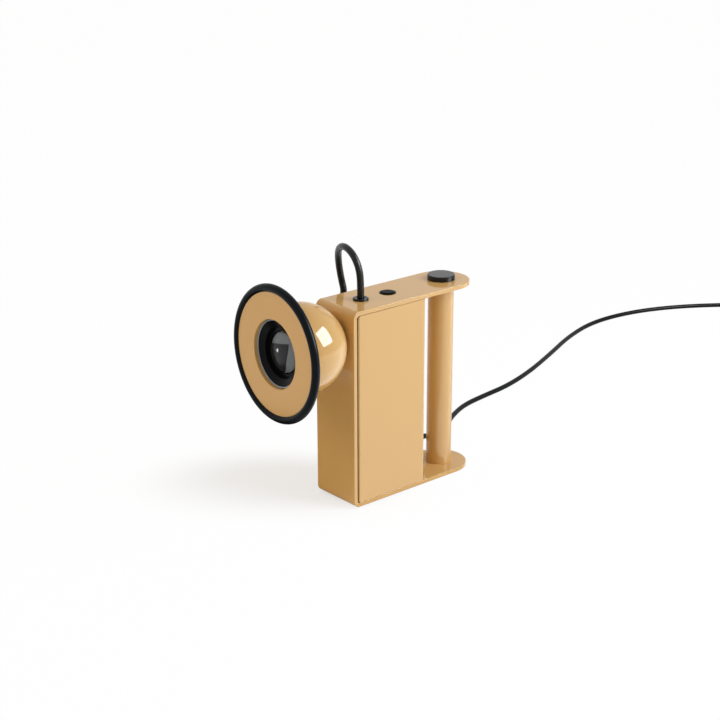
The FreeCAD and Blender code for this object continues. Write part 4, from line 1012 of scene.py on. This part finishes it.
@dataclass
class FoldedFrame:
    """Folded plate, the case between its tongues, and what stands or screws into them."""

    gap_middle: Triple = (0.0, -39.25, 96.0)
    gap_size: Triple = (52.6, 1.46, 181.0)
    gap_round: float = 0.5
    gap_segments: int = 3

    def build(self) -> None:
        """Dress the plate, the case, the feet and the screws, and add the painted shade in the
        gap.
        """
        self._painted_gap_shade()
        dress(ENAMEL, "frame_plate", "case_shell")
        dress(RUBBER, "rubber_feet")
        dress(ZINC, "case_screws", "driver_screws")

    def _painted_gap_shade(self) -> None:
        """Near-black strip in the gap between the plate and the case: painted shade that deepens
        the shadow line there.
        """
        bm = bmesh.new()
        size = Matrix.Diagonal((*self.gap_size, 1.0))
        bmesh.ops.create_cube(bm, size=1.0, matrix=Matrix.Translation(self.gap_middle) @ size)
        ends = ((edge, *edge.verts) for edge in bm.edges)
        upright = [edge for edge, a, b in ends if abs(a.co.z - b.co.z) > self.gap_round]
        bmesh.ops.bevel(
            bm, geom=upright, affect="EDGES", offset=self.gap_round,
            segments=self.gap_segments, profile=0.5, material=-1,
        )
        settle(finish_mesh(bm, "painted_gap_shade", Matrix()), Carrier.STAND, GAP_SHADE)


@dataclass
class Handle:
    """Grip tube with its insert and screw."""

    def build(self) -> None:
        """Dress the tube and what holds it."""
        dress(ENAMEL, "handle_tube")
        dress(STEEL, "tube_insert")
        dress(ZINC, "tube_screw")


@dataclass
class Controls:
    """Push button, dimmer knob and the cable's grommet on the top tongue."""

    def build(self) -> None:
        """Dress the controls."""
        dress(GLOSS_RUBBER, "loop_grommet")
        dress(PLASTIC, "switch_body", "push_button")
        dress(KNOB, "dimmer_knob")
        dress(STEEL, "dimmer_body", "dimmer_shaft")
        dress(ZINC, "dimmer_nut", "switch_nut")


@dataclass
class SearchlightHead:
    """Spun ball and flange with its rubber rim, baffle and recessed lamp."""

    ball: Triple = (0.0, -84.0, 160.2)
    pan: float = -2.4
    lift: float = 0.9
    edge_steps: int = 96
    lens_steps: int = 64
    edge_section: list[tuple[float, float]] = field(
        default_factory=lambda: [
            (29.7, 23.9), (29.8, 24.35), (30.2, 24.65), (31.0, 24.65), (31.34, 24.3), (31.34, 23.9)
        ]
    )
    facet_line: list[tuple[float, float]] = field(
        default_factory=lambda: [
            (5.0, -6.9), (7.2, -4.6), (10.0, 0.0), (12.3, 5.0), (14.3, 10.0), (15.8, 14.1)
        ]
    )
    facets: int = 24
    facet_thick: float = 0.15
    dome_line: list[tuple[float, float]] = field(
        default_factory=lambda: [
            (0.0, 21.3), (5.0, 21.15), (10.0, 20.7), (15.0, 19.8), (18.4, 18.7), (19.3, 18.2),
            (19.6, 17.6), (19.6, 14.8), (18.9, 14.8), (18.9, 17.7), (18.0, 18.1), (14.7, 19.1),
            (9.8, 20.0), (4.9, 20.45), (0.0, 20.6),
        ]
    )
    optic_line: list[tuple[float, float]] = field(
        default_factory=lambda: [
            (0.0, 19.3), (6.0, 19.15), (12.0, 18.6), (16.6, 17.8), (18.2, 17.2), (18.5, 16.7),
            (18.5, 14.9), (16.2, 14.9), (0.0, 17.2),
        ]
    )
    # Outline of the dark shield: painted dark reflection, the dark patch the lens mirrors, set
    # behind the glass as a holder.
    shield: list[Triple] = field(
        default_factory=lambda: [
            (-16.2, 4.7, 18.2), (9.4, 10.0, 18.2), (8.3, 1.5, 18.2), (5.9, -7.1, 18.2),
            (3.2, -16.9, 18.2), (-2.0, -17.1, 18.2), (-7.0, -15.7, 18.2), (-11.4, -12.8, 18.2),
            (-14.6, -9.0, 18.2), (-16.7, -4.3, 18.2), (-17.1, 0.0, 18.2),
        ]
    )
    shield_thick: float = 1.2
    # Place and size of the bright chip: painted glint, set where the lens shows a light's
    # reflection.
    glint_spot: Triple = (-7.0, 0.6, 19.8)
    glint_sides: int = 3
    glint_turn: float = 90.0
    glint_radius: float = 2.6
    glint_tip: float = 0.3
    glint_height: float = 0.8

    def place(self) -> Matrix:
        """Where the head stands at rest.

        Returns:
            From the head's own frame, with Z along its beam, to the lamp's.
        """
        pan = Matrix.Rotation(math.radians(self.pan), 4, "Z")
        tilt = Matrix.Rotation(math.radians(90.0 - self.lift), 4, "X")
        return Matrix.Translation(metres(self.ball)) @ pan @ tilt

    def build(self) -> None:
        """Dress the head's pieces, add the lip's ring, and behind the glass the painted
        reflections and glint.
        """
        dress(ENAMEL, "head_shell")
        dress(RUBBER, "rubber_rim")
        dress(LACQUER, "baffle", "lamp_can")
        dress(MIRROR, "reflector_lamp")
        dress(BRASS, "lamp_pins")
        dress(CERAMIC, "lamp_socket")
        dress(ZINC, "socket_screws", "gland_nut")
        dress(PLASTIC, "entry_gland")
        self._edge()
        self._reflector()
        self._optic()
        self._holder()

    def _edge(self) -> None:
        """Light metal ring round the baffle's lip; its pale colour is partly painted highlight,
        the line of light along the lip's edge.
        """
        bm = turned(self.edge_section, self.edge_steps, closed=True)
        settle(finish_mesh(bm, "baffle_lip_highlight", self.place()), Carrier.HEAD, LIP_HIGHLIGHT)

    def _reflector(self) -> None:
        """Faceted lining of the reflector lamp's bowl."""
        bm = turned(self.facet_line, self.facets, closed=False)
        bmesh.ops.solidify(bm, geom=bm.faces, thickness=self.facet_thick)
        piece = finish_mesh(bm, "reflector_facets", self.place(), smooth=False)
        settle(piece, Carrier.HEAD, MIRROR)

    def _optic(self) -> None:
        """Grey optic over the bowl, under a domed cover glass; the optic's grey is a painted
        reflection of the pale floor.
        """
        bm = turned(self.optic_line, self.lens_steps, closed=False)
        settle(finish_mesh(bm, "lamp_optic_painted_reflection", self.place()), Carrier.HEAD, OPTIC_REFLECTION)
        bm = turned(self.dome_line, self.lens_steps, closed=False)
        glass = finish_mesh(bm, "cover_glass", self.place())
        settle(glass, Carrier.HEAD, GLASS)
        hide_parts("lens_glass")

    def _holder(self) -> None:
        """Dark holder across the optic, and the bright chip on it: painted dark reflection and
        painted glint behind the glass.
        """
        bm = bmesh.new()
        edges = outline(bm, self.shield, closed=True)
        face = bmesh.ops.contextual_create(bm, geom=edges)["faces"]
        made = bmesh.ops.extrude_face_region(bm, geom=face)["geom"]
        raised = [v for v in made if isinstance(v, bmesh.types.BMVert)]
        bmesh.ops.translate(bm, verts=raised, vec=(0.0, 0.0, self.shield_thick))
        settle(finish_mesh(bm, "painted_dark_reflection", self.place(), smooth=False), Carrier.HEAD, DARK_REFLECTION)
        # Bright chip: painted glint.
        chip = bmesh.new()
        turn = Matrix.Rotation(math.radians(self.glint_turn), 4, "Z")
        bmesh.ops.create_cone(
            chip, cap_ends=True, segments=self.glint_sides, radius1=self.glint_radius,
            radius2=self.glint_tip, depth=self.glint_height,
            matrix=Matrix.Translation(self.glint_spot) @ turn,
        )
        settle(finish_mesh(chip, "painted_glint_chip", self.place(), smooth=False), Carrier.HEAD, GLINT_CHIP)


@dataclass
class Insides:
    """Magnetic seat, driver and control board inside the case."""

    def build(self) -> None:
        """Dress what the case holds."""
        dress(PLASTIC, "seat_ring", "cord_relief")
        dress(ZINC, "magnet", "bridge_screws")
        dress(STEEL, "magnet_yoke", "magnet_bridge", "bridge_spacers")
        dress(WHITE, "driver_case", "board_posts")
        dress(BOARD, "control_board")
        dress(LACQUER, "board_parts")


def main() -> None:
    """Build the scene, camera and cords first."""
    logging.basicConfig(level=logging.INFO)
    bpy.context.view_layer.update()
    bpy.context.scene.view_settings.view_transform = "Standard"
    for part in (
        Studio(),
        CableLoop(),
        MainsLead(),
        FoldedFrame(),
        Handle(),
        Controls(),
        SearchlightHead(),
        Insides(),
    ):
        part.build()
        log.info("%s done", type(part).__name__)


if __name__ == "__main__":
    main()
